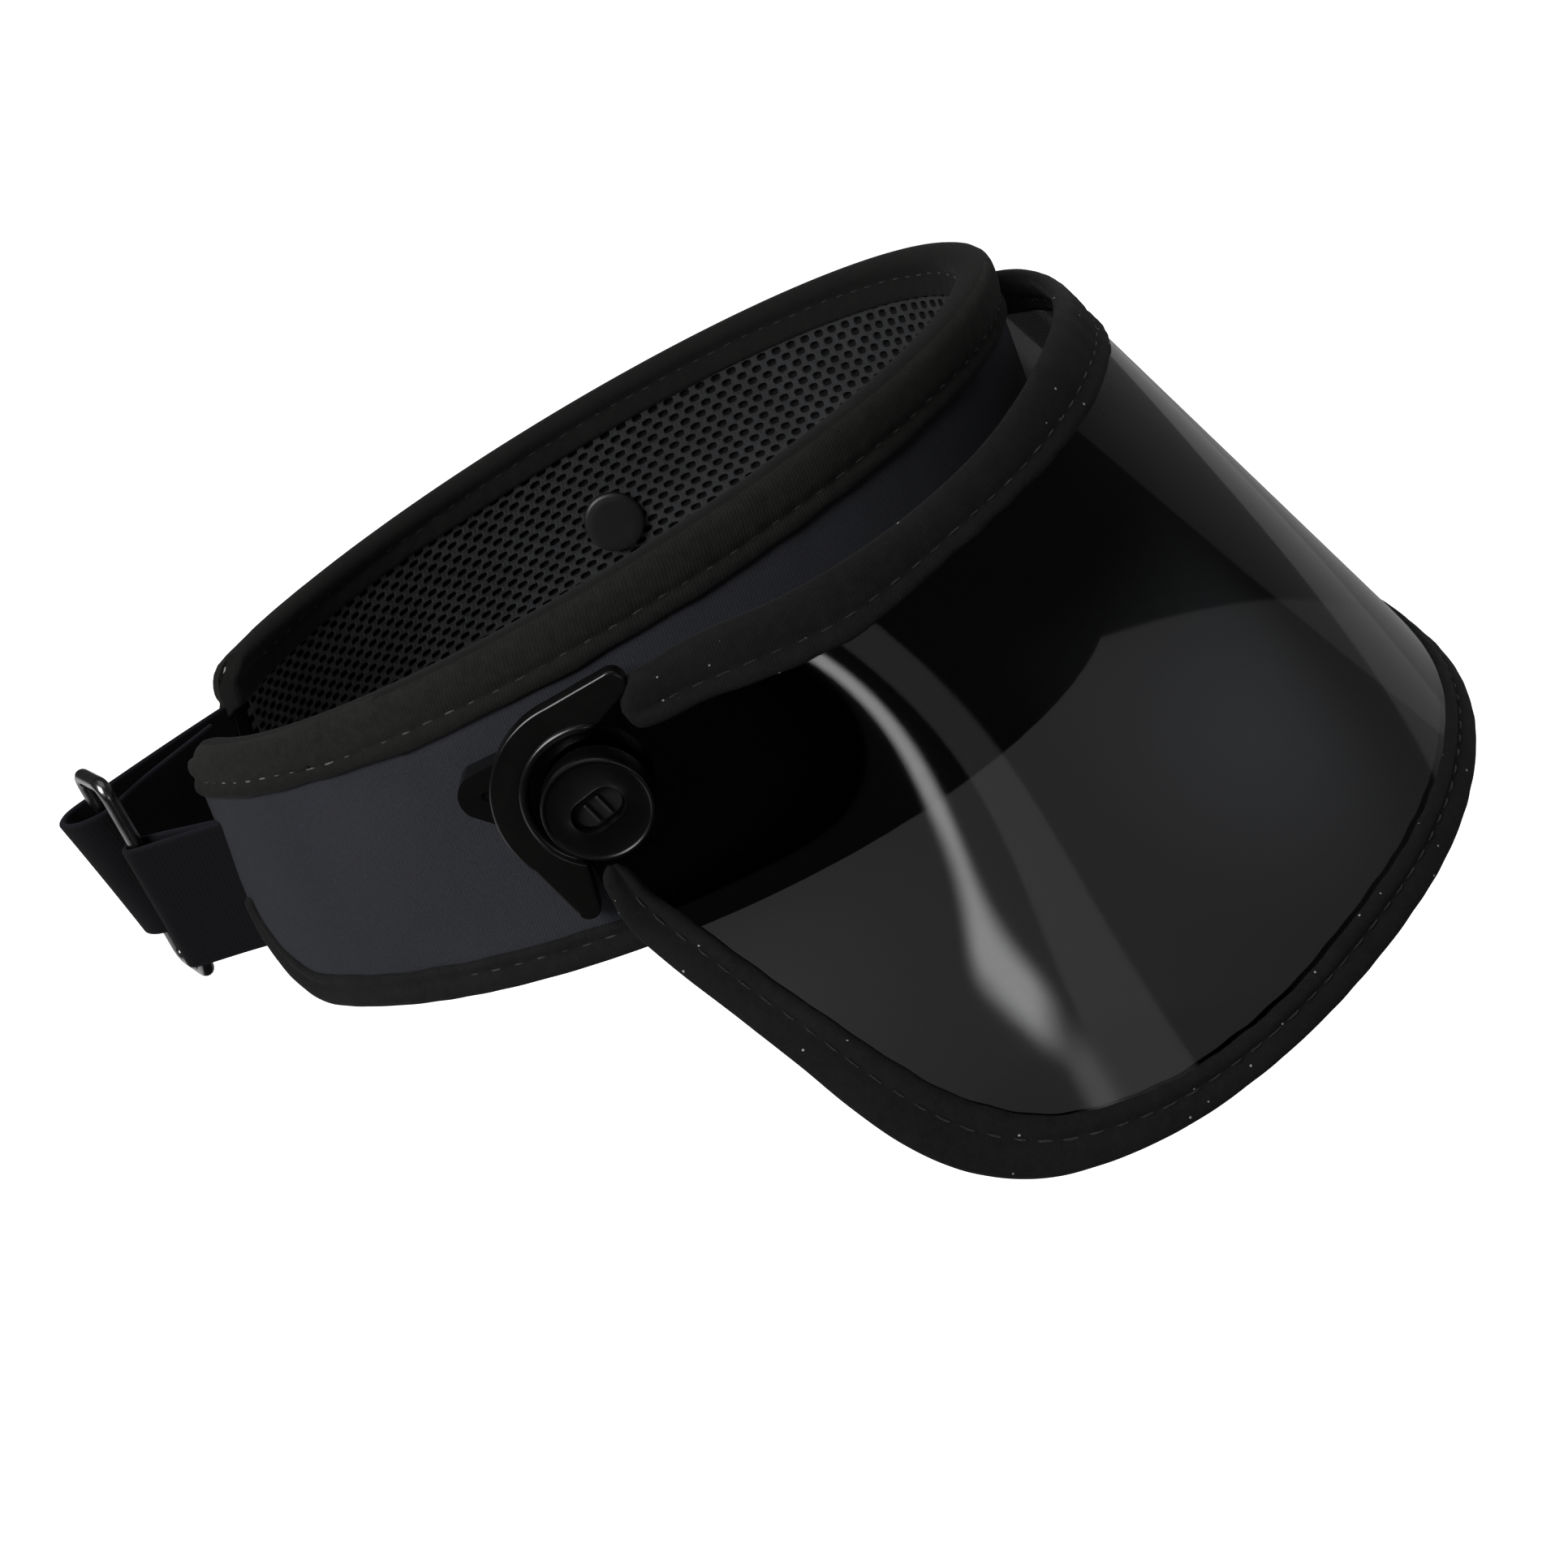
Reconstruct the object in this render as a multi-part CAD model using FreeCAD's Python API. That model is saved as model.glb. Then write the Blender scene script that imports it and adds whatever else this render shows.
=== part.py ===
import FreeCAD, Part
import math
import os

# Sun visor on a soft head band: dark brim hinged at both temples, webbing strap at the back.
# Frame: mm, +Z up, front is -Y, wearer's right is -X, origin in the middle of the head opening.

V = FreeCAD.Vector
SIDES = (("right", -1), ("left", 1))

# ---------------------------------------------------------------- head band
BAND_LOW = dict(z=-45.0, cy=3.1, rx=77.45, ry=97.5)      # plan ellipse low down
BAND_HIGH = dict(z=55.0, cy=-0.9, rx=70.6, ry=86.8)      # plan ellipse high up
TOP_EDGE = (29.0, -0.19)          # height at y = 0 and slope of the top edge
LOW_EDGE = (-30.7, -0.062)        # height at y = 0 and slope of the bottom edge
FABRIC_T = 1.0
STIFFENER_T = 0.8
FOAM_T = 1.8
LINER_T = 1.2
BAND_T = FABRIC_T + STIFFENER_T + FOAM_T + LINER_T
BINDING_OVER = 1.2                # binding stands proud of the layers
TOP_BINDING_H = 12.0
LOW_BINDING_H = 7.0
# rear ends: distance of each end from the middle at the heights END_Z
END_Z = (13.5, 11.2, 6.0, -13.0, -27.0, -37.5)
END_X = {"right": (38.0, 32.2, 31.0, 35.5, 40.6, 58.0), "left": (21.0, 16.5, 14.8, 13.0, 18.0, 36.0)}
# ---------------------------------------------------------------- hinge stack
PIVOT_Y = 4.2
PIVOT_Z = 0.0
BASE_X = 76.8                     # outer face of the base plate
BASE_R = 14.5
TAIL_R = 23.4                     # tip of the base plate's tail
TAIL_ANGLE = 14.5                 # tail direction above the rear horizontal
TAIL_TIP_HALF = 3.4               # half the tail's width at its tip
HUB_R = 5.6
HUB_END_X = 80.9
FELT = (76.8, 77.3)
ARM_FLOOR = (77.6, 78.6)
ARM_TOP_X = 80.6
ARM_LIP_X = 81.2
ARM_IN_R = 12.8
ARM_OUT_R = 17.8
ARM_BORE_R = 5.66                 # running fit on the hub
CLAMP = (79.5, 80.1)
WAVE = (80.4, 80.9)
KNOB = (81.0, 86.0)
KNOB_R = 9.3
PIN_HEAD_R = 7.3
PIN_HEAD_X = 67.5
SHAFT_LONG = 8.8
SHAFT_SHORT = 5.4
SHAFT_TILT = -20.8                # long side of the shaft against the front direction
SHAFT_END_X = 84.4
RIB = (0.5, 3.8, 0.9)             # raised ribs on the shaft's end: thickness, length, height
# ---------------------------------------------------------------- visor shell
VISOR_N = 2.279                   # roundness of the plan section
VISOR_RX = 82.9
VISOR_RY = 124.4
VISOR_WIDEN_X = 0.0033            # growth per mm down the shell
VISOR_WIDEN_Y = 0.0038
VISOR_RAKE = (0.1063, 0.9943)     # forward and downward travel per mm of shell
EAR_X = 79.05                     # flat ear, middle of the sheet
EAR_FLAT_R = 14.0
EAR_BLEND = 22.0
LENS_T = 0.9
LENS_SEAT_GAP = 0.12              # room round the sheet where the arm plate holds it
VISOR_BINDING_T = 3.8
# side view (y, z) of the visor edges, from the ear to the front
EDGE_UP = [(-8, 18), (-20.5, 20.3), (-34.5, 20.8), (-48.5, 22.2), (-62, 24.5), (-74, 27.5),
           (-83, 30.8), (-89, 33.3), (-94.5, 35.3), (-101, 36.8), (-112, 38.5)]
EDGE_UP_IN = [(-6, 8.5), (-17, 9.5), (-27, 9.8), (-43, 10.6), (-52.5, 12.8), (-64.5, 16),
              (-75, 18.3), (-84, 20.3), (-92, 22.4), (-98.5, 24.3), (-104, 25.5), (-118, 27.5)]
EDGE_RIM = [(9.8, -13.2), (9.5, -18), (8.4, -24.8), (3.8, -33), (-6, -45.5), (-12, -53.2),
            (-17.8, -61.5), (-24, -69.5), (-30.5, -75.8), (-38, -80.5), (-46, -83.4),
            (-55, -84.6), (-64, -84.8), (-73.5, -84.2), (-84, -82.6), (-94.5, -80.5),
            (-106, -77.7), (-119, -74.3), (-131.5, -71), (-140.5, -68.2), (-148, -65.8),
            (-156.5, -63.5), (-172, -60.5)]
EDGE_RIM_IN = [(4.4, -13.2), (3.4, -18), (-0.8, -25.2), (-10.5, -37.5), (-22, -50.2),
               (-28, -57.3), (-34.5, -64), (-41.5, -69.5), (-49.5, -73.6), (-58, -75.6),
               (-66.5, -76.4), (-76.5, -76), (-95.5, -72.6), (-110, -68.4), (-124.5, -64.6),
               (-135.5, -61.5), (-144, -58.8), (-165, -53.5)]
# ---------------------------------------------------------------- rear closure
WEB_W = 28.0
WEB_T = 1.4
TAB_Z = (-28.0, 0.0)
STRAP_Z = (-22.5, 5.5)
BAR_R = 1.5
BAR_IN = (-33.0, 100.5)           # ring bar held by the short loop, plan position
BAR_OUT = (-21.5, 109.0)          # ring bar inside the long strap
RING_Z = (-31.0, 13.0)
STRAP_SEWN_X = (42, 37, 32, 27, 22, 17)    # where the strap runs inside the left band end
STRAP_PATH = [(12, 93.2), (6, 98.0), (-1, 103.2), (-8, 108.1), (-13, 111.4),
              (-19, 114.6), (-24.5, 113.6), (-26.9, 109.4), (-25.2, 104.9), (-19.5, 102.6),
              (-13, 100.4), (-7, 97.7), (-1, 94.7), (5, 91.6)]
STRAP_LEAN = [-0.9, -0.4, 0.2, 0.8, 1.4, 2.0, 2.2, 2.0, 1.8, 1.6, 1.2, 0.7, 0.3, 0.0]


def spline(points):
    curve = Part.BSplineCurve()
    curve.interpolate(points)
    return curve.toShape()


def band_solid(grow):
    """Tapered elliptical block; grow moves its wall outwards."""
    wires = []
    for s in (BAND_LOW, BAND_HIGH):
        centre = V(0, s["cy"], s["z"])
        tip = V(0, s["cy"] + s["ry"] + grow, s["z"])
        side = V(s["rx"] + grow, s["cy"], s["z"])
        wires.append(Part.Wire(Part.Ellipse(tip, side, centre).toShape()))
    return Part.makeLoft(wires, True, True)


def wall_y(x, depth, z_range):
    """Rear wall position at x, and half the lean of that wall between two heights."""
    ys = []
    for z in z_range:
        k = (z - BAND_LOW["z"]) / (BAND_HIGH["z"] - BAND_LOW["z"])
        cy, rx, ry = [BAND_LOW[n] * (1 - k) + BAND_HIGH[n] * k for n in ("cy", "rx", "ry")]
        ys.append(cy + (ry - depth) * math.sqrt(1 - (x / (rx - depth)) ** 2))
    return (x, (ys[0] + ys[1]) / 2.0), (ys[1] - ys[0]) / 2.0


def band_shell(outer, inner):
    return band_solid(outer).cut(band_solid(inner))


def side_prism(points, half_width=130.0):
    """Closed polygon in the side view, run across the whole width."""
    pts = [V(-half_width, y, z) for y, z in points]
    face = Part.Face(Part.makePolygon(pts + [pts[0]]))
    return face.extrude(V(2 * half_width, 0, 0))


def slab(low, high):
    """Everything between two sloping planes given as (height, slope)."""
    y0, y1 = -140.0, 140.0
    return side_prism([(y0, low[0] + low[1] * y0), (y1, low[0] + low[1] * y1),
                       (y1, high[0] + high[1] * y1), (y0, high[0] + high[1] * y0)])


def shifted(edge, dz):
    return (edge[0] + dz, edge[1])


def opening(grow):
    """Rear gap between the band ends, with rounded corners, seen from behind."""
    edges = []
    corners = []
    for name, side in SIDES:
        x = [side * (end + grow) for end in END_X[name]]
        x[4] -= side * 0.2 * grow
        x[5] -= side * grow
        a, b, c, d, e, f = [V(px, 0, pz) for px, pz in zip(x, END_Z)]
        e.z += 0.6 * grow
        f.z += grow
        top = V(a.x, 0, 30)
        bottom = V(f.x, 0, -60)
        edges += [Part.makeLine(top, a), Part.Arc(a, b, c).toShape(), Part.makeLine(c, d),
                  Part.Arc(d, e, f).toShape(), Part.makeLine(f, bottom)]
        corners.append((top, bottom))
    for first, second in zip(*corners):
        edges.append(Part.makeLine(first, second))
    wire = Part.Wire(Part.__sortEdges__(edges))
    return Part.Face(wire).extrude(V(0, 140, 0))


def rod(radius, x0, x1, side, y=PIVOT_Y, z=PIVOT_Z):
    """Round bar along X between two distances from the middle, on one side."""
    return Part.makeCylinder(radius, x1 - x0, V(side * x0, y, z), V(side, 0, 0))


def ring(outer, inner, x0, x1, side):
    return rod(outer, x0, x1, side).cut(rod(inner, x0 - 1, x1 + 1, side))


def plate(face_points, x0, x1, side):
    """Extrude a closed wire drawn around the pivot (rear, up) outwards along X."""
    edges = []
    for kind, pts in face_points:
        p = [V(side * x0, PIVOT_Y + y, PIVOT_Z + z) for y, z in pts]
        edges.append(Part.Arc(*p).toShape() if kind == "arc" else Part.makeLine(*p))
    wire = Part.Wire(Part.__sortEdges__(edges))
    return Part.Face(wire).extrude(V(side * (x1 - x0), 0, 0))


def shaft(long_side, short_side, x0, x1, side):
    """Flat-sided round-ended bar along X through the pivot."""
    r = short_side / 2.0
    h = long_side / 2.0 - r
    body = plate([("line", [(-h, r), (h, r)]), ("arc", [(h, r), (h + r, 0), (h, -r)]),
                  ("line", [(h, -r), (-h, -r)]), ("arc", [(-h, -r), (-h - r, 0), (-h, r)])],
                 x0, x1, side)
    body.rotate(V(0, PIVOT_Y, PIVOT_Z), V(1, 0, 0), SHAFT_TILT)
    return body


def visor_point(angle, s, grow, side_x):
    """Point of the visor shell: angle round the head, s down the shell."""
    rx = VISOR_RX * (1 + VISOR_WIDEN_X * s) + grow
    ry = VISOR_RY * (1 + VISOR_WIDEN_Y * s) + grow
    sa, ca = math.sin(angle), math.cos(angle)
    r = (abs(sa / rx) ** VISOR_N + abs(ca / ry) ** VISOR_N) ** (-1.0 / VISOR_N)
    x = r * sa
    y = 4.23 - VISOR_RAKE[0] * s - r * ca
    z = -VISOR_RAKE[1] * s
    away = math.hypot(y - PIVOT_Y, z - PIVOT_Z)
    flat = math.exp(-max(away - EAR_FLAT_R, 0.0) ** 2 / (2 * EAR_BLEND ** 2))
    return V(x + (math.copysign(side_x + grow, x) - x) * flat, y, z)


def visor_shell(thickness):
    """Closed sheet of the brim before its outline is cut."""
    half = thickness / 2.0
    angles = [math.radians(a) for a in range(-102, 103, 4)]
    wires = []
    for s in range(-48, 100, 8):
        out = [visor_point(a, s, half, EAR_X) for a in angles]
        inn = [visor_point(a, s, -half, EAR_X) for a in angles]
        wires.append(Part.Wire([spline(out), Part.makeLine(out[-1], inn[-1]),
                                spline(inn[::-1]), Part.makeLine(inn[0], out[0])]))
    return Part.makeLoft(wires, True, False)


def outline(upper, lower, back):
    """Side-view face between two edge curves, run across the whole width."""
    up = [V(-130, y, z) for y, z in upper]
    lo = [V(-130, y, z) for y, z in lower]
    mid = [V(-130, y, z) for y, z in back]
    edges = [spline(up), spline(lo), Part.makeLine(up[-1], lo[-1])]
    if mid:
        edges += [Part.makeLine(up[0], mid[0]), Part.Arc(*mid).toShape(),
                  Part.makeLine(mid[-1], lo[0])]
    else:
        edges.append(Part.makeLine(up[0], lo[0]))
    return Part.Face(Part.Wire(Part.__sortEdges__(edges))).extrude(V(260, 0, 0))


def inset(points, dz):
    return [(y, z + dz) for y, z in points]


def ribbon(path, lean, thickness, z0, z1):
    """Strip of webbing standing on edge; lean moves its top edge backwards."""
    wires = []
    for z, k in ((z0, -1.0), (z1, 1.0)):
        pts = [V(x, y + k * d, z) for (x, y), d in zip(path, lean)]
        curve = Part.BSplineCurve()
        curve.interpolate(pts)
        n = 90
        a, b = curve.FirstParameter, curve.LastParameter
        left, right = [], []
        for i in range(n + 1):
            u = a + (b - a) * i / n
            t = curve.tangent(u)[0]
            side = V(-t.y, t.x, 0) * (thickness / 2.0)
            left.append(curve.value(u) + side)
            right.append(curve.value(u) - side)
        wires.append(Part.Wire([spline(left), Part.makeLine(left[-1], right[-1]),
                                spline(right[::-1]), Part.makeLine(right[0], left[0])]))
    return Part.makeLoft(wires, True, True)


def drop_loop(eye, tail, eye_r, tail_r, z0, z1, lean):
    """Folded webbing: wide round an eye, narrow at its stitched tail."""
    wires = []
    for z, k in ((z0, -1.0), (z1, 1.0)):
        c = V(eye[0], eye[1], z)
        t = V(tail[0], tail[1] + k * lean, z)
        d = (t - c).normalize()
        n = V(-d.y, d.x, 0)
        p = [c + n * eye_r, c - d * eye_r, c - n * eye_r, t - n * tail_r, t + n * tail_r]
        wires.append(Part.Wire([Part.Arc(p[0], p[1], p[2]).toShape(), Part.makeLine(p[2], p[3]),
                                Part.makeLine(p[3], p[4]), Part.makeLine(p[4], p[0])]))
    return Part.makeLoft(wires, True, True)


parts = {}

region = slab(LOW_EDGE, TOP_EDGE)
gap = opening(0.0)

# ---- rear closure, its sewn ends lie in the foam layer
foam_out = FABRIC_T + STIFFENER_T
web_depth = foam_out + FOAM_T / 2.0
anchor = band_shell(-foam_out, -foam_out - FOAM_T)
tab_zone = Part.makeBox(17, 60, TAB_Z[1] - TAB_Z[0], V(-51, 60, TAB_Z[0]))
loop = drop_loop(BAR_IN, (-35.6, 83.6), 3.1, 1.0, TAB_Z[0], TAB_Z[1], -1.4)
eye = Part.makeCylinder(BAR_R + 0.3, 60, V(BAR_IN[0], BAR_IN[1], -40))
loop = loop.cut(band_solid(BINDING_OVER + 0.3).cut(gap)).cut(eye)
parts["strap_tab"] = anchor.common(tab_zone).fuse(loop).removeSplitter()

sewn = [wall_y(x, web_depth, STRAP_Z) for x in STRAP_SEWN_X]
STRAP_PATH = [p for p, d in sewn] + STRAP_PATH
STRAP_LEAN = [d for p, d in sewn] + STRAP_LEAN
parts["strap_long"] = ribbon(STRAP_PATH, STRAP_LEAN, WEB_T, *STRAP_Z)

pad_path = [(x + 0.45, y + 1.25) for x, y in STRAP_PATH[-4:]]
pad_lean = STRAP_LEAN[-4:]
pad = ribbon(pad_path, pad_lean, 1.0, STRAP_Z[0] + 2, STRAP_Z[1] - 2)
parts["strap_hook_pad"] = pad.cut(parts["strap_long"])

# ---- head band layers
tail = math.radians(TAIL_ANGLE)
peg_at = (PIVOT_Y + 18.6 * math.cos(tail), PIVOT_Z + 18.6 * math.sin(tail))
holes = []
for name, side in SIDES:
    holes.append(shaft(SHAFT_LONG + 0.4, SHAFT_SHORT + 0.4, 60, 82, side))
    holes.append(rod(1.5, 72, 82, side, *peg_at))
deep = 0.0
# the stiffener stops short of the place where the strap leaves the wall
strap_exit = Part.makeBox(24.5, 60, STRAP_Z[1] - STRAP_Z[0] + 1.0, V(0, 60, STRAP_Z[0] - 0.5))
for name, thick in (("band_fabric", FABRIC_T), ("band_stiffener", STIFFENER_T),
                    ("band_foam", FOAM_T), ("band_liner", LINER_T)):
    layer = band_shell(-deep, -deep - thick).common(region).cut(gap)
    for h in holes:
        layer = layer.cut(h)
    if name == "band_foam":
        layer = layer.cut(tab_zone).cut(parts["strap_long"])
    if name == "band_stiffener":
        layer = layer.cut(strap_exit)
    parts[name] = layer
    deep += thick
layers = band_shell(0, -BAND_T).common(region).cut(gap)

# ---- bindings folded over the band edges
thick_shell = band_shell(BINDING_OVER, -BAND_T - BINDING_OVER).cut(opening(-BINDING_OVER))
top_zone = slab(shifted(TOP_EDGE, -TOP_BINDING_H), shifted(TOP_EDGE, 1.6))
webs = (parts["strap_tab"], parts["strap_long"])
parts["band_binding_top"] = thick_shell.common(top_zone).cut(layers).cut(webs[1])
low_zone = slab(shifted(LOW_EDGE, -1.2), (-16.0, 0.0))
inside = slab(shifted(LOW_EDGE, LOW_BINDING_H), (60.0, 0.0)).cut(opening(LOW_BINDING_H))
low_binding = thick_shell.common(low_zone).cut(inside).cut(layers)
parts["band_binding_bottom"] = low_binding.cut(webs[0]).cut(webs[1])

corners = [V(*BAR_IN, RING_Z[0]), V(*BAR_IN, RING_Z[1]),
           V(*BAR_OUT, RING_Z[1]), V(*BAR_OUT, RING_Z[0])]
ring_parts = []
for start, end in zip(corners, corners[1:] + corners[:1]):
    run = end - start
    ring_parts.append(Part.makeCylinder(BAR_R, run.Length, start, run))
    ring_parts.append(Part.makeSphere(BAR_R, start))
wire_ring = ring_parts[0].multiFuse(ring_parts[1:]).removeSplitter()
parts["strap_ring"] = wire_ring

# ---- visor
lens_face = outline(inset(EDGE_UP, -1.2), inset(EDGE_RIM, 1.2),
                    [(-1.2, 12.3), (PIVOT_Y + 12.2, 0.0), (9.0, -11.2)])
lens = visor_shell(LENS_T).common(lens_face)
for name, side in SIDES:
    lens = lens.cut(rod(HUB_R + 0.3, 70, 90, side))
parts["visor_lens"] = lens
lens_seat = visor_shell(LENS_T + 2 * LENS_SEAT_GAP).common(lens_face)
thick_visor = visor_shell(VISOR_BINDING_T)
for name, upper, lower in (("visor_binding_top", EDGE_UP, EDGE_UP_IN),
                           ("visor_binding_rim", EDGE_RIM_IN, EDGE_RIM)):
    parts[name] = thick_visor.common(outline(upper, lower, [])).cut(lens)

# ---- hinge parts, one set each side
ARM_SHAPE = [
    ("line", [(-8.0, 19.8), (2.4, 17.64)]),
    ("arc", [(2.4, 17.64), (ARM_OUT_R, 0.0), (15.2, -9.26)]),
    ("line", [(15.2, -9.26), (11.4, -19.4)]),
    ("arc", [(11.4, -19.4), (9.6, -21.4), (7.2, -19.8)]),
    ("line", [(7.2, -19.8), (6.3, -11.14)]),
    ("arc", [(6.3, -11.14), (ARM_IN_R, 0.0), (-4.6, 11.944)]),
    ("line", [(-4.6, 11.944), (-10.3, 15.6)]),
    ("arc", [(-10.3, 15.6), (-11.1, 18.4), (-8.0, 19.8)]),
]
LIP_SHAPE = [
    ("arc", [(6.3, -11.14), (ARM_IN_R, 0.0), (-4.6, 11.944)]),
    ("line", [(-4.6, 11.944), (-4.96, 12.87)]),
    ("arc", [(-4.96, 12.87), (ARM_IN_R + 1.0, 0.0), (6.79, -12.01)]),
    ("line", [(6.79, -12.01), (6.3, -11.14)]),
]
for name, side in SIDES:
    base = rod(BASE_R, 70, BASE_X, side)
    tip = TAIL_R - 1.6
    ct, st = math.cos(tail), math.sin(tail)
    left = (ct * 6 - st * 11, st * 6 + ct * 11)
    right = (ct * 6 + st * 11, st * 6 - ct * 11)
    tip_l = (ct * tip - st * TAIL_TIP_HALF, st * tip + ct * TAIL_TIP_HALF)
    tip_r = (ct * tip + st * TAIL_TIP_HALF, st * tip - ct * TAIL_TIP_HALF)
    tip_m = (ct * TAIL_R, st * TAIL_R)
    base = base.fuse(plate([("line", [left, tip_l]), ("arc", [tip_l, tip_m, tip_r]),
                            ("line", [tip_r, right]), ("line", [right, left])],
                           70, BASE_X, side))
    base = base.cut(band_solid(0.0))
    peg = rod(1.4, 72.6, BASE_X, side, *peg_at)
    base = base.fuse(peg).fuse(rod(HUB_R, BASE_X - 1, HUB_END_X, side))
    base = base.cut(shaft(SHAFT_LONG + 0.1, SHAFT_SHORT + 0.1, 60, 90, side))
    base = base.cut(rod(0.9, BASE_X - 0.5, BASE_X + 1, side, *peg_at))
    parts["base_plate_" + name] = base.removeSplitter()
    parts["felt_washer_" + name] = ring(12.0, HUB_R + 0.2, FELT[0], FELT[1], side)

    arm = ring(ARM_IN_R + 0.6, ARM_BORE_R, ARM_FLOOR[0], ARM_FLOOR[1], side)
    arm = arm.fuse(plate(ARM_SHAPE, ARM_FLOOR[0], ARM_TOP_X, side))
    arm = arm.fuse(plate(LIP_SHAPE, ARM_TOP_X - 0.5, ARM_LIP_X, side))
    parts["arm_plate_" + name] = arm.removeSplitter().cut(lens_seat)
    parts["ear_clamp_" + name] = ring(8.6, HUB_R + 0.3, CLAMP[0], CLAMP[1], side)
    parts["wave_washer_" + name] = ring(7.8, HUB_R + 0.2, WAVE[0], WAVE[1], side)

    knob = rod(KNOB_R, KNOB[0], KNOB[1], side)
    rims = [e for e in knob.Edges if abs(e.BoundBox.XLength) < 0.01]
    knob = knob.makeFillet(0.9, [max(rims, key=lambda e: side * e.BoundBox.Center.x)])
    knob = knob.cut(shaft(SHAFT_LONG + 0.1, SHAFT_SHORT + 0.1, 60, 90, side))
    knob = knob.cut(shaft(SHAFT_LONG + 0.9, SHAFT_SHORT + 0.9, KNOB[1] - 1.9, 90, side))
    parts["knob_" + name] = knob

    pin = rod(PIN_HEAD_R, PIN_HEAD_X, 72, side).common(band_solid(-BAND_T))
    stem = shaft(SHAFT_LONG, SHAFT_SHORT, PIN_HEAD_X + 1.0, SHAFT_END_X, side)
    for offset in (-1.25, 1.25):
        rib = Part.makeBox(RIB[2] + 0.2, RIB[0], RIB[1], V(0, offset - RIB[0] / 2, -RIB[1] / 2))
        rib.rotate(V(0, 0, 0), V(1, 0, 0), SHAFT_TILT)
        rib.translate(V(min(side * (SHAFT_END_X - 0.2), side * (SHAFT_END_X + RIB[2])),
                        PIVOT_Y, PIVOT_Z))
        stem = stem.fuse(rib)
    parts["pin_" + name] = pin.fuse(stem).removeSplitter()

os.makedirs("parts", exist_ok=True)
for name, shape in parts.items():
    if len(shape.Solids) == 1:
        shape = shape.Solids[0]
    print(name, "valid", shape.isValid(), "solids", len(shape.Solids),
          "volume %.1f" % shape.Volume)
    shape.exportStep("parts/%s.step" % name)
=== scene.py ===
import math
import bmesh
import bpy
import numpy as np
from mathutils import Matrix, Vector


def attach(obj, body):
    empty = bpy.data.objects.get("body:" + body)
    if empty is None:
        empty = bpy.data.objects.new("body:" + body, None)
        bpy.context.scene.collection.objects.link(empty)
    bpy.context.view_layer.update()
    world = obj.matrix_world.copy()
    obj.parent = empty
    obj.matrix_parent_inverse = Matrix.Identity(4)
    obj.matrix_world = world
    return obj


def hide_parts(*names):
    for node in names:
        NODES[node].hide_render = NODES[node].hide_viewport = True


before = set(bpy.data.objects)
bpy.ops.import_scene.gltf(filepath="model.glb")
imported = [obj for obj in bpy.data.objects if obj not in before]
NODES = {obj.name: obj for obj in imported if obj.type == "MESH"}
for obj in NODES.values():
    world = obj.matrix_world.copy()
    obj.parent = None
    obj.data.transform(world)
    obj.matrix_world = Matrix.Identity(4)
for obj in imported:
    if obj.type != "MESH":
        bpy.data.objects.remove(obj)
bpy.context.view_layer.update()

MM = 0.001
SIDES = (("right", -1), ("left", 1))
rng = np.random.default_rng(7)


# -------------------- the object's own measures, mm
BAND_T = 4.8                    # thickness of the band's wall
MID = BAND_T / 2
BAND_CY = (3.1, -4.0)           # the band's middle at z = -45, and its change per 100 mm of height
BAND_RX = (77.45, -6.85)        # half width, the same way
BAND_RY = (97.5, -10.7)         # half length
TOP_EDGE = (29.0, -0.19)        # height at y = 0, and slope along y
LOW_EDGE = (-30.7, -0.062)
WALL_LEAN = 0.07                # upward part of the wall's outward direction
HALF_GIRTH = 215.0              # length of the top edge from the front to a rear end
PIVOT_Y = 4.2                   # the hinge axis runs along X through y = PIVOT_Y, z = 0
VISOR_CY = (4.23, -0.1063)      # the visor's middle at s = 0, and its change per mm of s
VISOR_RX = (82.9, 0.0033)       # half width at s = 0, and the share it grows by per mm
VISOR_RY = (124.4, 0.0038)
VISOR_DROP = 0.9943             # height lost per mm of s
VISOR_N = 2.279                 # power of its rounded outline
EAR_X = 79.05                   # distance of the flat ears from the middle
# the visor's edges from the side, (y, z) from the ear to the front: both borders of each tape
EDGE_UP = [(-8, 18), (-20.5, 20.3), (-34.5, 20.8), (-48.5, 22.2), (-62, 24.5), (-74, 27.5),
           (-83, 30.8), (-89, 33.3), (-94.5, 35.3), (-101, 36.8), (-112, 38.5)]
EDGE_UP_IN = [(-6, 8.5), (-17, 9.5), (-27, 9.8), (-43, 10.6), (-52.5, 12.8), (-64.5, 16),
              (-75, 18.3), (-84, 20.3), (-92, 22.4), (-98.5, 24.3), (-104, 25.5), (-118, 27.5)]
EDGE_RIM = [(9.8, -13.2), (9.5, -18), (8.4, -24.8), (3.8, -33), (-6, -45.5), (-12, -53.2),
            (-17.8, -61.5), (-24, -69.5), (-30.5, -75.8), (-38, -80.5), (-46, -83.4),
            (-55, -84.6), (-64, -84.8), (-73.5, -84.2), (-84, -82.6), (-94.5, -80.5),
            (-106, -77.7), (-119, -74.3), (-131.5, -71), (-140.5, -68.2), (-148, -65.8),
            (-156.5, -63.5), (-172, -60.5)]
EDGE_RIM_IN = [(4.4, -13.2), (3.4, -18), (-0.8, -25.2), (-10.5, -37.5), (-22, -50.2),
               (-28, -57.3), (-34.5, -64), (-41.5, -69.5), (-49.5, -73.6), (-58, -75.6),
               (-66.5, -76.4), (-76.5, -76), (-95.5, -72.6), (-110, -68.4), (-124.5, -64.6),
               (-135.5, -61.5), (-144, -58.8), (-165, -53.5)]


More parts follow.
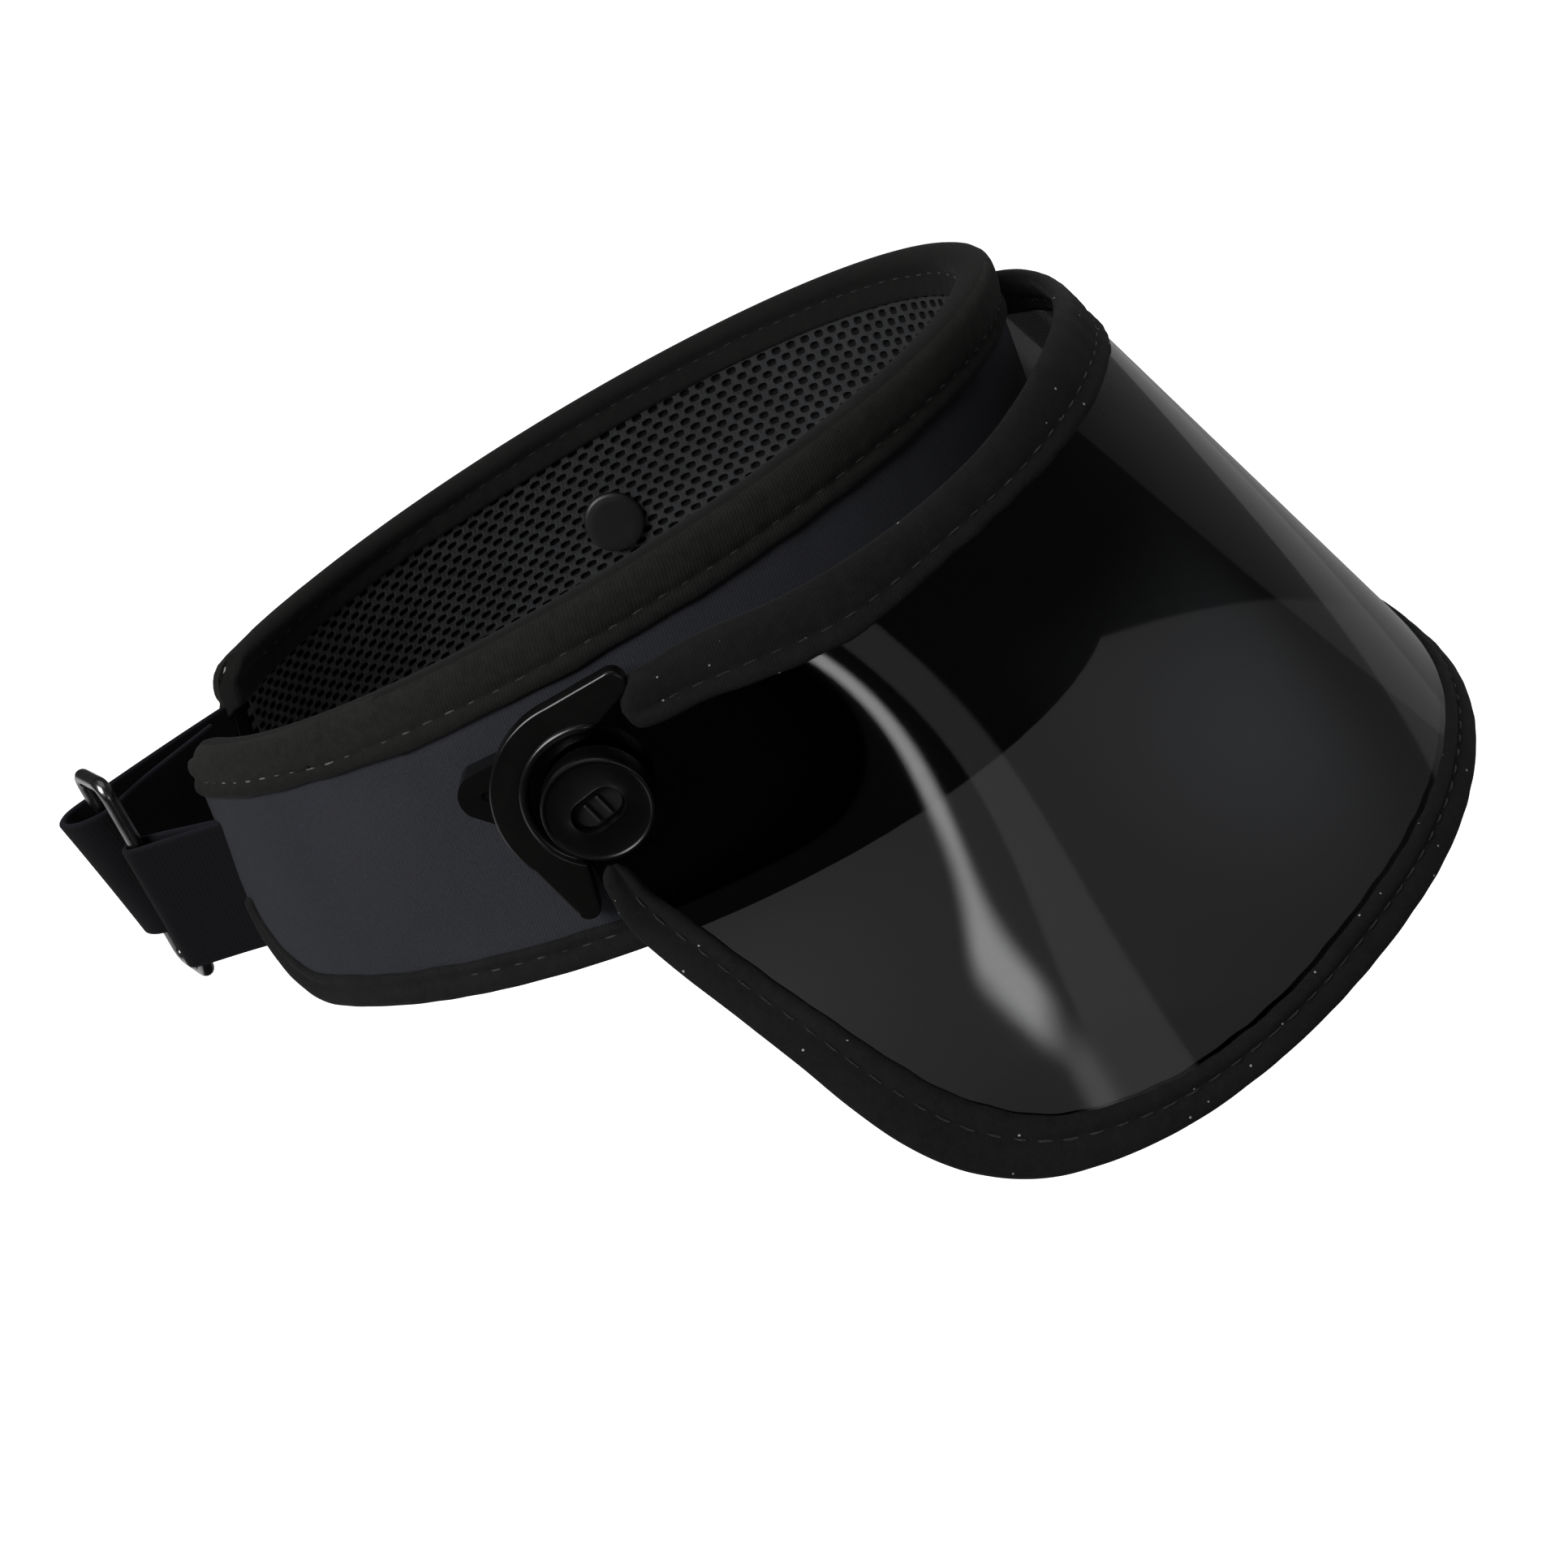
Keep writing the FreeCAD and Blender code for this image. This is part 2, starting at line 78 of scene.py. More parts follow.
# -------------------- mesh helpers
def piece(name, verts, faces, material, body, slot, nodes=(), uv=None):
    """A new mesh piece, its points given in mm, riding on a body."""
    mesh = bpy.data.meshes.new(name)
    mesh.from_pydata((np.asarray(verts, float) * MM).tolist(), [], [list(map(int, f)) for f in faces])
    if uv is not None:
        layer = mesh.uv_layers.new(name="UVMap")
        index = np.zeros(len(mesh.loops), np.int32)
        mesh.loops.foreach_get("vertex_index", index)
        layer.data.foreach_set("uv", np.asarray(uv, np.float32)[index].ravel())
    mesh.validate()
    mesh.polygons.foreach_set("use_smooth", [True] * len(mesh.polygons))
    mesh.materials.append(MAT[material])
    obj = bpy.data.objects.new(name, mesh)
    bpy.context.scene.collection.objects.link(obj)
    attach(obj, body)
    if nodes:
        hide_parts(*nodes)
    return obj


def quads(nu, nv, wrap_u=False, wrap_v=False):
    """Faces of an nu by nv grid of points, numbered row by row."""
    u = np.arange(nu if wrap_u else nu - 1)
    v = np.arange(nv if wrap_v else nv - 1)
    a, b = np.meshgrid(u, v, indexing="ij")
    a, b = a.ravel(), b.ravel()
    c, d = (a + 1) % nu, (b + 1) % nv
    return np.stack([a * nv + b, c * nv + b, c * nv + d, a * nv + d], 1).tolist()


def tube_faces(nu, nv):
    """Grid closed round v, with an end cap at each end."""
    return quads(nu, nv, wrap_v=True) + [list(range(nv))[::-1], [(nu - 1) * nv + i for i in range(nv)]]


def outward(obj, crisp=None):
    """Turns a closed mesh's faces outwards, and keeps edges sharper than an angle crisp."""
    bm = bmesh.new()
    bm.from_mesh(obj.data)
    bmesh.ops.recalc_face_normals(bm, faces=bm.faces)
    if crisp:
        limit = math.radians(crisp)
        for e in bm.edges:
            e.smooth = len(e.link_faces) == 2 and e.calc_face_angle(0.0) < limit
    bm.to_mesh(obj.data)
    bm.free()
    return obj


def run(points):
    """Distance along a polyline at each of its points."""
    return np.r_[0, np.cumsum(np.linalg.norm(np.diff(points, axis=0), axis=1))]


def at_runs(t, d, values):
    """Rows of values at the distances t, where d has the rows' own distances."""
    return np.stack([np.interp(t, d, column) for column in values.T], 1)


def unit(rows):
    return rows / np.linalg.norm(rows, axis=1)[:, None]


def resample(points, n):
    """n points at even steps along a polyline."""
    p = np.asarray(points, float)
    d = run(p)
    return at_runs(np.linspace(0, d[-1], n), d, p)


def skin(name, grid, along, up, material, body, slot, nodes):
    """A piece closed round each row of a grid of points, with its lengths and heights as UVs."""
    uv = np.stack([np.broadcast_to(along, up.shape), up], -1).reshape(-1, 2) * MM
    return outward(piece(name, grid.reshape(-1, 3), tube_faces(*up.shape), material, body, slot,
                         nodes, uv))


def from_ends(length):
    """Distance from the nearer end of a tape."""
    return np.minimum(length, length[-1] - length)


def pinch(end):
    """Thickness left where a tape is flattened at its cut end, for end from 0 to 1."""
    return np.sqrt(np.clip(1 - (0.93 * end) ** 2, 0, 1))


def smooth_curve(points, n):
    """Even points along a smooth curve through the given ones."""
    p = np.asarray(points, float)
    p = np.vstack([2 * p[0] - p[1], p, 2 * p[-1] - p[-2]])
    out = []
    for a, b, c, d in zip(p, p[1:], p[2:], p[3:]):
        ta, tb, tc = (np.linalg.norm(q) ** 0.5 for q in (b - a, c - b, d - c))
        m1 = tb * ((b - a) / ta - (c - a) / (ta + tb) + (c - b) / tb)
        m2 = tb * ((c - b) / tb - (d - b) / (tb + tc) + (d - c) / tc)
        for t in np.linspace(0, 1, 24, endpoint=False):
            h = (2 * t ** 3 - 3 * t ** 2 + 1, t ** 3 - 2 * t ** 2 + t,
                 -2 * t ** 3 + 3 * t ** 2, t ** 3 - t ** 2)
            out.append(h[0] * b + h[1] * m1 + h[2] * c + h[3] * m2)
    out.append(p[-2])
    return resample(out, n)


def arc3(a, b, c, n=24):
    """Points on the circle through three points, from the first to the last."""
    (ax, ay), (bx, by), (cx, cy) = a, b, c
    d = 2 * (ax * (by - cy) + bx * (cy - ay) + cx * (ay - by))
    ux = ((ax * ax + ay * ay) * (by - cy) + (bx * bx + by * by) * (cy - ay)
          + (cx * cx + cy * cy) * (ay - by)) / d
    uy = ((ax * ax + ay * ay) * (cx - bx) + (bx * bx + by * by) * (ax - cx)
          + (cx * cx + cy * cy) * (bx - ax)) / d
    r = math.hypot(ax - ux, ay - uy)
    t0, t1, t2 = (math.atan2(p[1] - uy, p[0] - ux) for p in (a, b, c))
    turn = (t2 - t0) % (2 * math.pi)
    if (t1 - t0) % (2 * math.pi) > turn:
        turn -= 2 * math.pi
    t = t0 + np.linspace(0, 1, n) * turn
    return np.stack([ux + r * np.cos(t), uy + r * np.sin(t)], 1)


def waves(x, seed, count=5, low=0.02, high=0.25):
    """Smooth seeded wobble of about -1 to 1 along x in mm."""
    r = np.random.default_rng(seed)
    total = np.zeros_like(np.asarray(x, float))
    for _ in range(count):
        total += np.sin(x * r.uniform(low, high) + r.uniform(0, 6.28))
    return total / count


# -------------------- head band surface
def band_sizes(z):
    """Middle, half width and half length of the band at height z."""
    k = (z + 45.0) / 100.0
    return [low + change * k for low, change in (BAND_CY, BAND_RX, BAND_RY)]


def band_xy(t, z, depth):
    """Plan position on the band wall; t is 0 at the front, depth goes inwards."""
    cy, rx, ry = band_sizes(z)
    return (rx - depth) * np.sin(t), cy - (ry - depth) * np.cos(t)


def band_point(t, z, depth):
    t, z, depth = np.broadcast_arrays(np.asarray(t, float), z, depth)
    return np.stack([*band_xy(t, z, depth), z], -1)


def on_band(p, depth):
    """Moves points to an exact depth in the band wall, and gives their angles."""
    cy, rx, ry = band_sizes(p[..., 2])
    t = np.arctan2(p[..., 0] / (rx - MID), -(p[..., 1] - cy) / (ry - MID))
    return band_point(t, p[..., 2], depth), t


def band_out(t):
    """Outward direction of the band wall."""
    return np.stack([np.sin(t), -np.cos(t), np.full_like(t, WALL_LEAN)], 1)


def edge_z(t, edge):
    """Height of a sloping edge, in the middle of the wall."""
    z = np.zeros_like(np.asarray(t, float))
    for _ in range(8):
        z = edge[0] + edge[1] * band_xy(t, z, MID)[1]
    return z


def end_line(x):
    """Outline of one rear end, seen from behind, from its six distances; lowest point first."""
    line = np.vstack([[(x[0], 30)], arc3((x[0], 13.5), (x[1], 11.2), (x[2], 6.0)),
                      arc3((x[3], -13.0), (x[4], -27.0), (x[5], -37.5))])
    return line[np.argsort(line[:, 1])].T


END_LINES = {-1: end_line((38.0, 32.2, 31.0, 35.5, 40.6, 58.0)),
             1: end_line((21.0, 16.5, 14.8, 13.0, 18.0, 36.0))}


def end_t(z, grow, side, depth=0.0):
    """Angle at which the band stops at its rear opening; side 1 is the wearer's left."""
    x = np.interp(z, END_LINES[side][1], END_LINES[side][0]) + grow
    return math.pi - np.arcsin(np.clip(x / (band_sizes(z)[1] - depth), -1, 1))


def spread(u, z, grow):
    """Angle round the band for u from -1, the right end, to 1, the left end."""
    return u * np.where(np.asarray(u) > 0, end_t(z, grow, 1), end_t(z, grow, -1))


def edge_at(u, edge, grow):
    """Height of a sloping edge at u, and the angle there."""
    z = np.full_like(np.asarray(u, float), edge[0])
    for _ in range(6):
        t = spread(u, z, grow)
        z = edge_z(t, edge)
    return z, t


# -------------------- visor surface
def visor_sizes(s, grow=0.0):
    """Middle, half width and half length of the visor, s mm down from the hinge."""
    return [VISOR_CY[0] + VISOR_CY[1] * s] + [r * (1 + k * s) + grow for r, k in (VISOR_RX, VISOR_RY)]


def visor_point(a, s, grow):
    """Point at angle a from the front, grow mm outside the middle of the sheet, ears flattened."""
    a, s, grow = np.broadcast_arrays(np.asarray(a, float), s, grow)
    cy, rx, ry = visor_sizes(s, grow)
    r = (np.abs(np.sin(a) / rx) ** VISOR_N + np.abs(np.cos(a) / ry) ** VISOR_N) ** (-1 / VISOR_N)
    x, y, z = r * np.sin(a), cy - r * np.cos(a), -VISOR_DROP * s
    away = np.hypot(y - PIVOT_Y, z)
    flat = np.exp(-np.maximum(away - 14.0, 0) ** 2 / (2 * 22.0 ** 2))
    x = x + (np.copysign(EAR_X + grow, x) - x) * flat
    return np.stack([x, y, z], -1)


def edge_on_visor(points, n):
    """A side-view edge as even (angle, s) steps from the ear to the middle of the front."""
    yz = smooth_curve(points, 1500)
    s = -yz[:, 1] / VISOR_DROP
    cy, rx, ry = visor_sizes(s)
    ahead = cy - yz[:, 0]
    u = np.abs(ahead / ry)
    keep = u < 0.9999
    x = rx[keep] * (1 - u[keep] ** VISOR_N) ** (1 / VISOR_N)
    a, s = np.arctan2(x, ahead[keep]), s[keep]
    slope = (s[-1] - s[-8]) / (a[-1] - a[-8])
    tail = np.linspace(a[-1], 0, 12)[1:]
    ease = s[-1] + slope * (tail - a[-1]) * (0.5 + 0.5 * tail / a[-1])
    a, s = np.r_[a, tail], np.r_[s, ease]
    d = run(visor_point(a, s, 0.0))
    t = np.linspace(0, d[-1], n)
    return np.interp(t, d, a), np.interp(t, d, s)


def whole_edge(points, n):
    """The same edge from the wearer's left ear round the front to the right ear."""
    a, s = edge_on_visor(points, n)
    return np.r_[a, -a[-2::-1]], np.r_[s, s[-2::-1]]


# -------------------- materials
class Nodes:
    """A small builder for the nodes of a material, a world or a light."""

    def __init__(self, owner):
        owner.use_nodes = True
        self.owner, self.tree = owner, owner.node_tree
        self.bsdf = self.tree.nodes.get("Principled BSDF")
        self.out = self.tree.nodes.get("Material Output")

    def node(self, kind, **values):
        n = self.tree.nodes.new(kind)
        for key, value in values.items():
            if key in n.inputs:
                n.inputs[key].default_value = value
            else:
                setattr(n, key, value)
        return n

    def link(self, a, b):
        self.tree.links.new(a, b)

    def put(self, socket, value):
        """Links an output to a socket or sets its value; a colour has three numbers."""
        if isinstance(value, bpy.types.NodeSocket):
            self.link(value, socket)
        elif value is not None:
            socket.default_value = (*value, 1) if isinstance(value, tuple) else value

    def coord(self, kind="Object"):
        return self.node("ShaderNodeTexCoord").outputs[kind]

    def mapped(self, **values):
        m = self.node("ShaderNodeMapping", **values)
        self.link(self.coord(), m.inputs["Vector"])
        return m.outputs["Vector"]

    def axes(self, vector):
        split = self.node("ShaderNodeSeparateXYZ")
        self.link(vector, split.inputs[0])
        return split.outputs

    def noise(self, scale, detail=3.0, rough=0.55, vector=None):
        n = self.node("ShaderNodeTexNoise", Scale=scale, Detail=detail, Roughness=rough)
        self.link(vector if vector is not None else self.coord(), n.inputs["Vector"])
        return n.outputs["Fac"]

    def ramp(self, value, low, high):
        """Black up to low, white from high."""
        r = self.node("ShaderNodeValToRGB")
        for stop, place in zip(r.color_ramp.elements, (low, high)):
            stop.position = place
        self.link(value, r.inputs["Fac"])
        return r.outputs["Color"]

    def scaled(self, value, low, high, **other):
        """A value's place between low and high, from 0 to 1."""
        m = self.node("ShaderNodeMapRange", **{"From Min": low, "From Max": high, **other})
        self.link(value, m.inputs["Value"])
        return m.outputs["Result"]

    def math(self, op, *values):
        m = self.node("ShaderNodeMath", operation=op)
        for socket, value in zip(m.inputs, values):
            self.put(socket, value)
        return m.outputs[0]

    def mix(self, fac, a, b, mode="MIX"):
        m = self.node("ShaderNodeMix", data_type="RGBA", blend_type=mode)
        for k, value in ((0, fac), (6, a), (7, b)):
            self.put(m.inputs[k], value)
        return m.outputs[2]

    def bump(self, height, strength, distance, chain=None):
        b = self.node("ShaderNodeBump", Strength=strength, Distance=distance)
        self.link(height, b.inputs["Height"])
        if chain is not None:
            self.link(chain, b.inputs["Normal"])
        return b.outputs["Normal"]

    def shaders(self, kind, *sources):
        """Joins shader nodes, or a factor and two shader nodes, in one node."""
        joined = self.node(kind)
        for source, socket in zip(sources, joined.inputs):
            self.link(source, socket)
        return joined.outputs[0]

    def finish(self, colour=None, rough=None, normal=None, **fixed):
        for key, value in (("Base Color", colour), ("Roughness", rough), ("Normal", normal)):
            self.put(self.bsdf.inputs[key], value)
        for key, value in fixed.items():
            self.bsdf.inputs[key].default_value = value
        return self.owner


def material(name):
    return Nodes(bpy.data.materials.new(name))


def tint(colour, k):
    return tuple(c * k for c in colour)


def cloth(name, dark, light, rib=0.0, rib_pitch=0.5, weave=0.0, lint=0.0, sheen=0.03, fuzz=1.0,
          painted_edge_highlight=None, patch=0.012, low_painted_shade=None, blotch=0.0):
    """Textile: colour drift, yarn ribs or weave along the UVs, fuzz and lint specks, with optional
    painted shade low down and painted highlight along the edges.
    """
    n = material(name)
    fine = n.noise(2600.0, 3.0, 0.6)
    colour = n.mix(n.ramp(n.noise(1 / patch, 3.0, 0.5), 0.3, 0.72), dark, light)
    colour = n.mix(n.math("MULTIPLY", n.ramp(fine, 0.35, 0.8), 0.35), colour, tint(light, 2.1))
    if blotch:
        worn = n.ramp(n.noise(620.0, 4.0, 0.7), 0.38, 0.68)
        colour = n.mix(n.math("MULTIPLY", worn, blotch), colour, tint(light, 2.4))
    # painted shade: colour darkens towards the bottom of the UV height, standing in for shade on a
    # tape's lower strip
    if low_painted_shade:
        low, high, least = low_painted_shade
        level = n.scaled(n.axes(n.coord("UV"))["Y"], low * MM, high * MM)
        shade = n.math("ADD", n.math("MULTIPLY", level, 1 - least), least)
        colour = n.mix(1.0, colour, shade, "MULTIPLY")
    normal = n.bump(fine, fuzz, 0.00008)
    if rib:
        uv = n.axes(n.coord("UV"))
        warp = n.math("MULTIPLY", n.noise(900.0, 2.0), 0.00035)
        wave = n.math("SINE", n.math("MULTIPLY", n.math("ADD", uv["X"], warp),
                                     2 * math.pi / (rib_pitch * MM)))
        normal = n.bump(wave, rib, 0.00012, normal)
        colour = n.mix(n.math("MULTIPLY", n.math("ADD", wave, 1.0), 0.16), colour, (0, 0, 0))
        if weave:
            cross = n.math("SINE", n.math("MULTIPLY", uv["Y"], 2 * math.pi / (rib_pitch * 1.6 * MM)))
            normal = n.bump(n.math("MULTIPLY", wave, cross), weave, 0.00012, normal)
    # painted highlight: colour lightens towards both edges of the UV height, standing in for light
    # caught on the selvedges
    if painted_edge_highlight:
        half, width, strength = painted_edge_highlight
        off = n.math("ABSOLUTE", n.math("SUBTRACT", n.axes(n.coord("UV"))["Y"], half * MM))
        near = n.math("SMOOTH_MAX", n.math("DIVIDE", n.math("SUBTRACT", off, (half - width) * MM),
                                           width * MM), 0.0, 0.05)
        colour = n.mix(n.math("MULTIPLY", near, strength), colour, tint(light, 4))
    if lint:
        v = n.node("ShaderNodeTexVoronoi", Scale=330.0)
        n.link(n.coord(), v.inputs["Vector"])
        spot = n.math("LESS_THAN", v.outputs["Distance"], 0.075)
        pick = n.math("GREATER_THAN", n.noise(110.0, 2.0, 0.7), 1.0 - lint)
        colour = n.mix(n.math("MULTIPLY", spot, pick), colour, (0.36, 0.35, 0.32))
    return n.finish(colour, 0.92, normal, **{"Sheen Weight": sheen, "Sheen Roughness": 0.4,
                                             "Specular IOR Level": 0.25})


def plastic(name, base, rough, grain=0.25):
    """Moulded plastic: faint mould grain, handling marks in the gloss, tiny colour drift."""
    n = material(name)
    colour = n.mix(n.ramp(n.noise(90.0, 3.0), 0.35, 0.7), base, tint(base, 1.5))
    r = n.math("ADD", n.math("MULTIPLY", n.noise(160.0, 4.0, 0.65), 0.18), rough - 0.08)
    return n.finish(colour, r, n.bump(n.noise(5200.0, 2.0), grain, 0.00003))


def metal(name, base, rough):
    """Plated wire: fine scratches and cloudy wear."""
    n = material(name)
    long = n.noise(60.0, 4.0, 0.6, n.mapped(Scale=(900.0, 900.0, 40.0)))
    colour = n.mix(n.ramp(n.noise(260.0, 3.0), 0.3, 0.75), base, tint(base, 1.7))
    r = n.math("ADD", n.math("MULTIPLY", long, 0.2), rough - 0.06)
    return n.finish(colour, r, n.bump(long, 0.12, 0.00002), Metallic=1.0)


def thread(name, base, painted_shade_forward=False):
    """Twisted sewing thread; the flag fades it to dark forward of the hinge, a painted shade where the
    rear light falls off.
    """
    n = material(name)
    twist = n.node("ShaderNodeTexWave", Scale=900.0, Distortion=2.0)
    n.link(n.mapped(Rotation=(0.3, 0.5, 0.8)), twist.inputs["Vector"])
    colour = n.mix(n.ramp(n.noise(230.0, 2.0), 0.38, 0.66), tint(base, 0.22), base)
    # painted shade: the thread darkens forward of the hinge
    if painted_shade_forward:
        colour = n.mix(n.scaled(n.axes(n.coord())["Y"], 0.012, 0.055), tint(base, 0.09), colour)
    return n.finish(colour, 0.8, n.bump(twist.outputs["Fac"], 0.5, 0.00006),
                    **{"Sheen Weight": 0.2})


def lens_glass():
    """Smoke-tinted sheet: clear dielectric walls round an absorbing body, with faint smears."""
    n = material("lens_tint")
    r = n.math("MULTIPLY", n.ramp(n.noise(38.0, 4.0, 0.6), 0.45, 0.8), 0.02)
    body = n.node("ShaderNodeVolumeAbsorption", Color=(0.058, 0.056, 0.066, 1), Density=5000.0)
    n.link(body.outputs[0], n.out.inputs["Volume"])
    return n.finish((1, 1, 1), n.math("ADD", r, 0.05), n.bump(n.noise(18.0, 1.0), 0.02, 0.0003),
                    **{"Transmission Weight": 1.0, "IOR": 1.46})


MAT = {
    "fabric": cloth("band_fabric", (0.022, 0.023, 0.029), (0.028, 0.029, 0.036), rib=0.06,
                    weave=0.08, fuzz=0.25, patch=0.03),
    "liner": cloth("mesh_liner", (0.023, 0.0235, 0.025), (0.037, 0.038, 0.040), rib=0.2,
                   rib_pitch=0.6, fuzz=0.6),
    # near-black copy of the lining for the walls and floors of its holes: painted shade
    "liner_painted_shade": cloth("mesh_liner_painted_shade", (0.0012, 0.0012, 0.0014), (0.002, 0.002, 0.0024),
                        sheen=0.0, fuzz=0.6),
    # top tape: its lower strip below the stitches gets painted shade
    "band_binding": cloth("band_binding", (0.0056, 0.0056, 0.0050), (0.0112, 0.0110, 0.0098),
                          rib=0.14, rib_pitch=0.55, blotch=0.35, low_painted_shade=(-8.2, -5.6, 0.5),
                          patch=0.02),
    # darker copy of the top tape for its faces inside the band: painted shade
    "binding_inside_painted_shade": cloth("binding_inside_painted_shade", (0.0035, 0.0035, 0.0034), (0.0062, 0.0060, 0.0056),
                            rib=0.14, rib_pitch=0.55, sheen=0.02, blotch=0.2),
    "bottom_binding": cloth("bottom_binding", (0.0038, 0.0040, 0.0042), (0.0078, 0.0078, 0.0080),
                            rib=0.14, rib_pitch=0.55, blotch=0.3),
    "visor_binding": cloth("visor_binding", (0.0026, 0.0027, 0.0031), (0.0062, 0.0063, 0.0068),
                           rib=0.12, lint=0.50, blotch=0.35),
    # webbing, with painted highlights along both selvedges
    "webbing": cloth("webbing", (0.0012, 0.0012, 0.0024), (0.0026, 0.0026, 0.0042), rib=0.12,
                     rib_pitch=0.8, weave=0.1, sheen=0.02, fuzz=0.5, painted_edge_highlight=(14.0, 1.0, 0.5)),
    "hook": cloth("hook_pad", (0.006, 0.006, 0.007), (0.012, 0.012, 0.013), rib=1.0, rib_pitch=0.9,
                  weave=1.0, fuzz=0.5),
    "felt": cloth("felt", (0.02, 0.02, 0.02), (0.035, 0.035, 0.035), sheen=0.1),
    "foam": cloth("foam", (0.05, 0.05, 0.055), (0.08, 0.08, 0.085), sheen=0.1),
    "hinge": plastic("hinge_plastic", (0.0034, 0.0034, 0.0032), 0.22, 0.14),
    "knob": plastic("knob_plastic", (0.0016, 0.0016, 0.0015), 0.30, 0.2),
    "pin": plastic("pin_plastic", (0.007, 0.007, 0.0075), 0.42, 0.3),
    # near-black copy of the pin's plastic for its shaft: painted shade at the bottom of the knob's hole
    "shaft": plastic("shaft_plastic_painted_shade", (0.0006, 0.0006, 0.0006), 0.7, 0.3),
    # lighter copy of the pin's plastic for the ribs on its end: painted highlight
    "rib": plastic("rib_plastic_painted_highlight", (0.016, 0.016, 0.015), 0.4, 0.3),
    "clamp": plastic("clamp_plastic", (0.006, 0.006, 0.006), 0.4),
    "stiffener": plastic("stiffener", (0.25, 0.25, 0.245), 0.5),
    "spring": metal("spring_steel", (0.25, 0.25, 0.24), 0.3),
    "ring": metal("ring_metal", (0.16, 0.16, 0.165), 0.2),
    # outer top stitches, with painted shade forward of the hinge
    "thread_light": thread("thread_light", (0.17, 0.165, 0.145), painted_shade_forward=True),
    "thread_faint": thread("thread_faint", (0.045, 0.05, 0.045)),
    "thread_dark": thread("thread_dark", (0.0075, 0.0075, 0.007)),
    # near-black copy of the thread for the top seam's inner row: painted shade inside the band
    "thread_inside_painted_shade": thread("thread_inside_painted_shade", (0.004, 0.004, 0.0038)),
    "lens": lens_glass(),
}
for node, key in (("band_stiffener", "stiffener"), ("band_foam", "foam"),
                  ("felt_washer_", "felt"), ("ear_clamp_", "clamp"), ("wave_washer_", "spring"),
                  ("base_plate_", "hinge"), ("pin_", "pin"), ("knob_", "knob"), ("arm_plate_", "hinge")):
    for full in [node] if node in NODES else [node + side for side, _ in SIDES]:
        NODES[full].data.materials.clear()
        NODES[full].data.materials.append(MAT[key])


# -------------------- stitches
def stitches(name, path, normals, body, slot, material, radius):
    """A row of separate thread dashes lying along a path, on its normals' side."""
    pitch, length, sink = 4.5, 2.7, 0.05
    rings, edges = 7, 6
    d = run(path)
    around = np.linspace(0, 2 * math.pi, edges + 1)[:-1]
    along = np.linspace(0, 1, rings)
    one = tube_faces(rings, edges)
    r = radius * np.sqrt(np.clip(1 - (2 * along - 1) ** 4, 0.03, 1))
    lift = radius * (0.9 * np.sin(along * math.pi) - 0.55) - sink
    verts, faces, uv = [], [], []
    for start in (np.arange(int(d[-1] / pitch)) + 0.2) * pitch:
        at = start + along * length * (1 + 0.12 * math.sin(start * 1.7))
        p, m = at_runs(at, d, path), unit(at_runs(at, d, normals))
        side = np.cross(unit(np.gradient(p, axis=0)), m)
        skew = 0.10 * math.sin(start * 3.1)
        faces += [[len(verts) + k for k in face] for face in one]
        for i in range(rings):
            c = p[i] + m[i] * lift[i] + side[i] * skew
            verts += [c + (m[i] * math.cos(w) + side[i] * math.sin(w)) * r[i] for w in around]
            uv += [(at[i] * MM, w * MM) for w in around]
    return outward(piece(name, verts, faces, material, body, slot, uv=uv))


# -------------------- head band: fabric cover
def cover():
    """Outer fabric, turned in at the rear ends, with slight puckers along the seams."""
    nu, nv = 560, 34
    u = np.linspace(-1, 1, nu)[:, None]
    v = np.linspace(0, 1, nv)[None, :]
    lo = edge_at(u, LOW_EDGE, 0.15)[0] + 1.0
    hi = edge_at(u, TOP_EDGE, 0.15)[0] - 1.5
    z = lo + (hi - lo) * v
    t = spread(u, z, 0.15)
    x = t * 86.0
    pucker = waves(x + 3 * np.sin(z * 0.2), 3, 6, 0.25, 0.9)
    seam = np.exp(-((hi - 10.5 - z) / 4.0) ** 2) + np.exp(-((z - lo - 6.0) / 3.5) ** 2)
    puff = 0.10 * np.sin(np.clip((z - lo) / (hi - lo), 0, 1) * math.pi)
    soft = 0.10 * waves(x * 0.6 + z, 5, 5, 0.05, 0.2)
    depth = -(puff + 0.10 * seam * pucker + soft * 0.5)
    end = np.clip((np.abs(u) - 0.994) / 0.006, 0, 1)
    depth = depth + 1.6 * end ** 2
    grid = np.concatenate([band_point(t, z, depth),
                           band_point(t, z, np.maximum(depth + 0.8, 0.5))[:, ::-1]], 1)
    x, z = (np.concatenate([q, q[:, ::-1]], 1) for q in (x, z))
    skin("band_cover", grid, x, z, "fabric", "headband", "band_fabric",
                   ("band_fabric", "band_foam"))


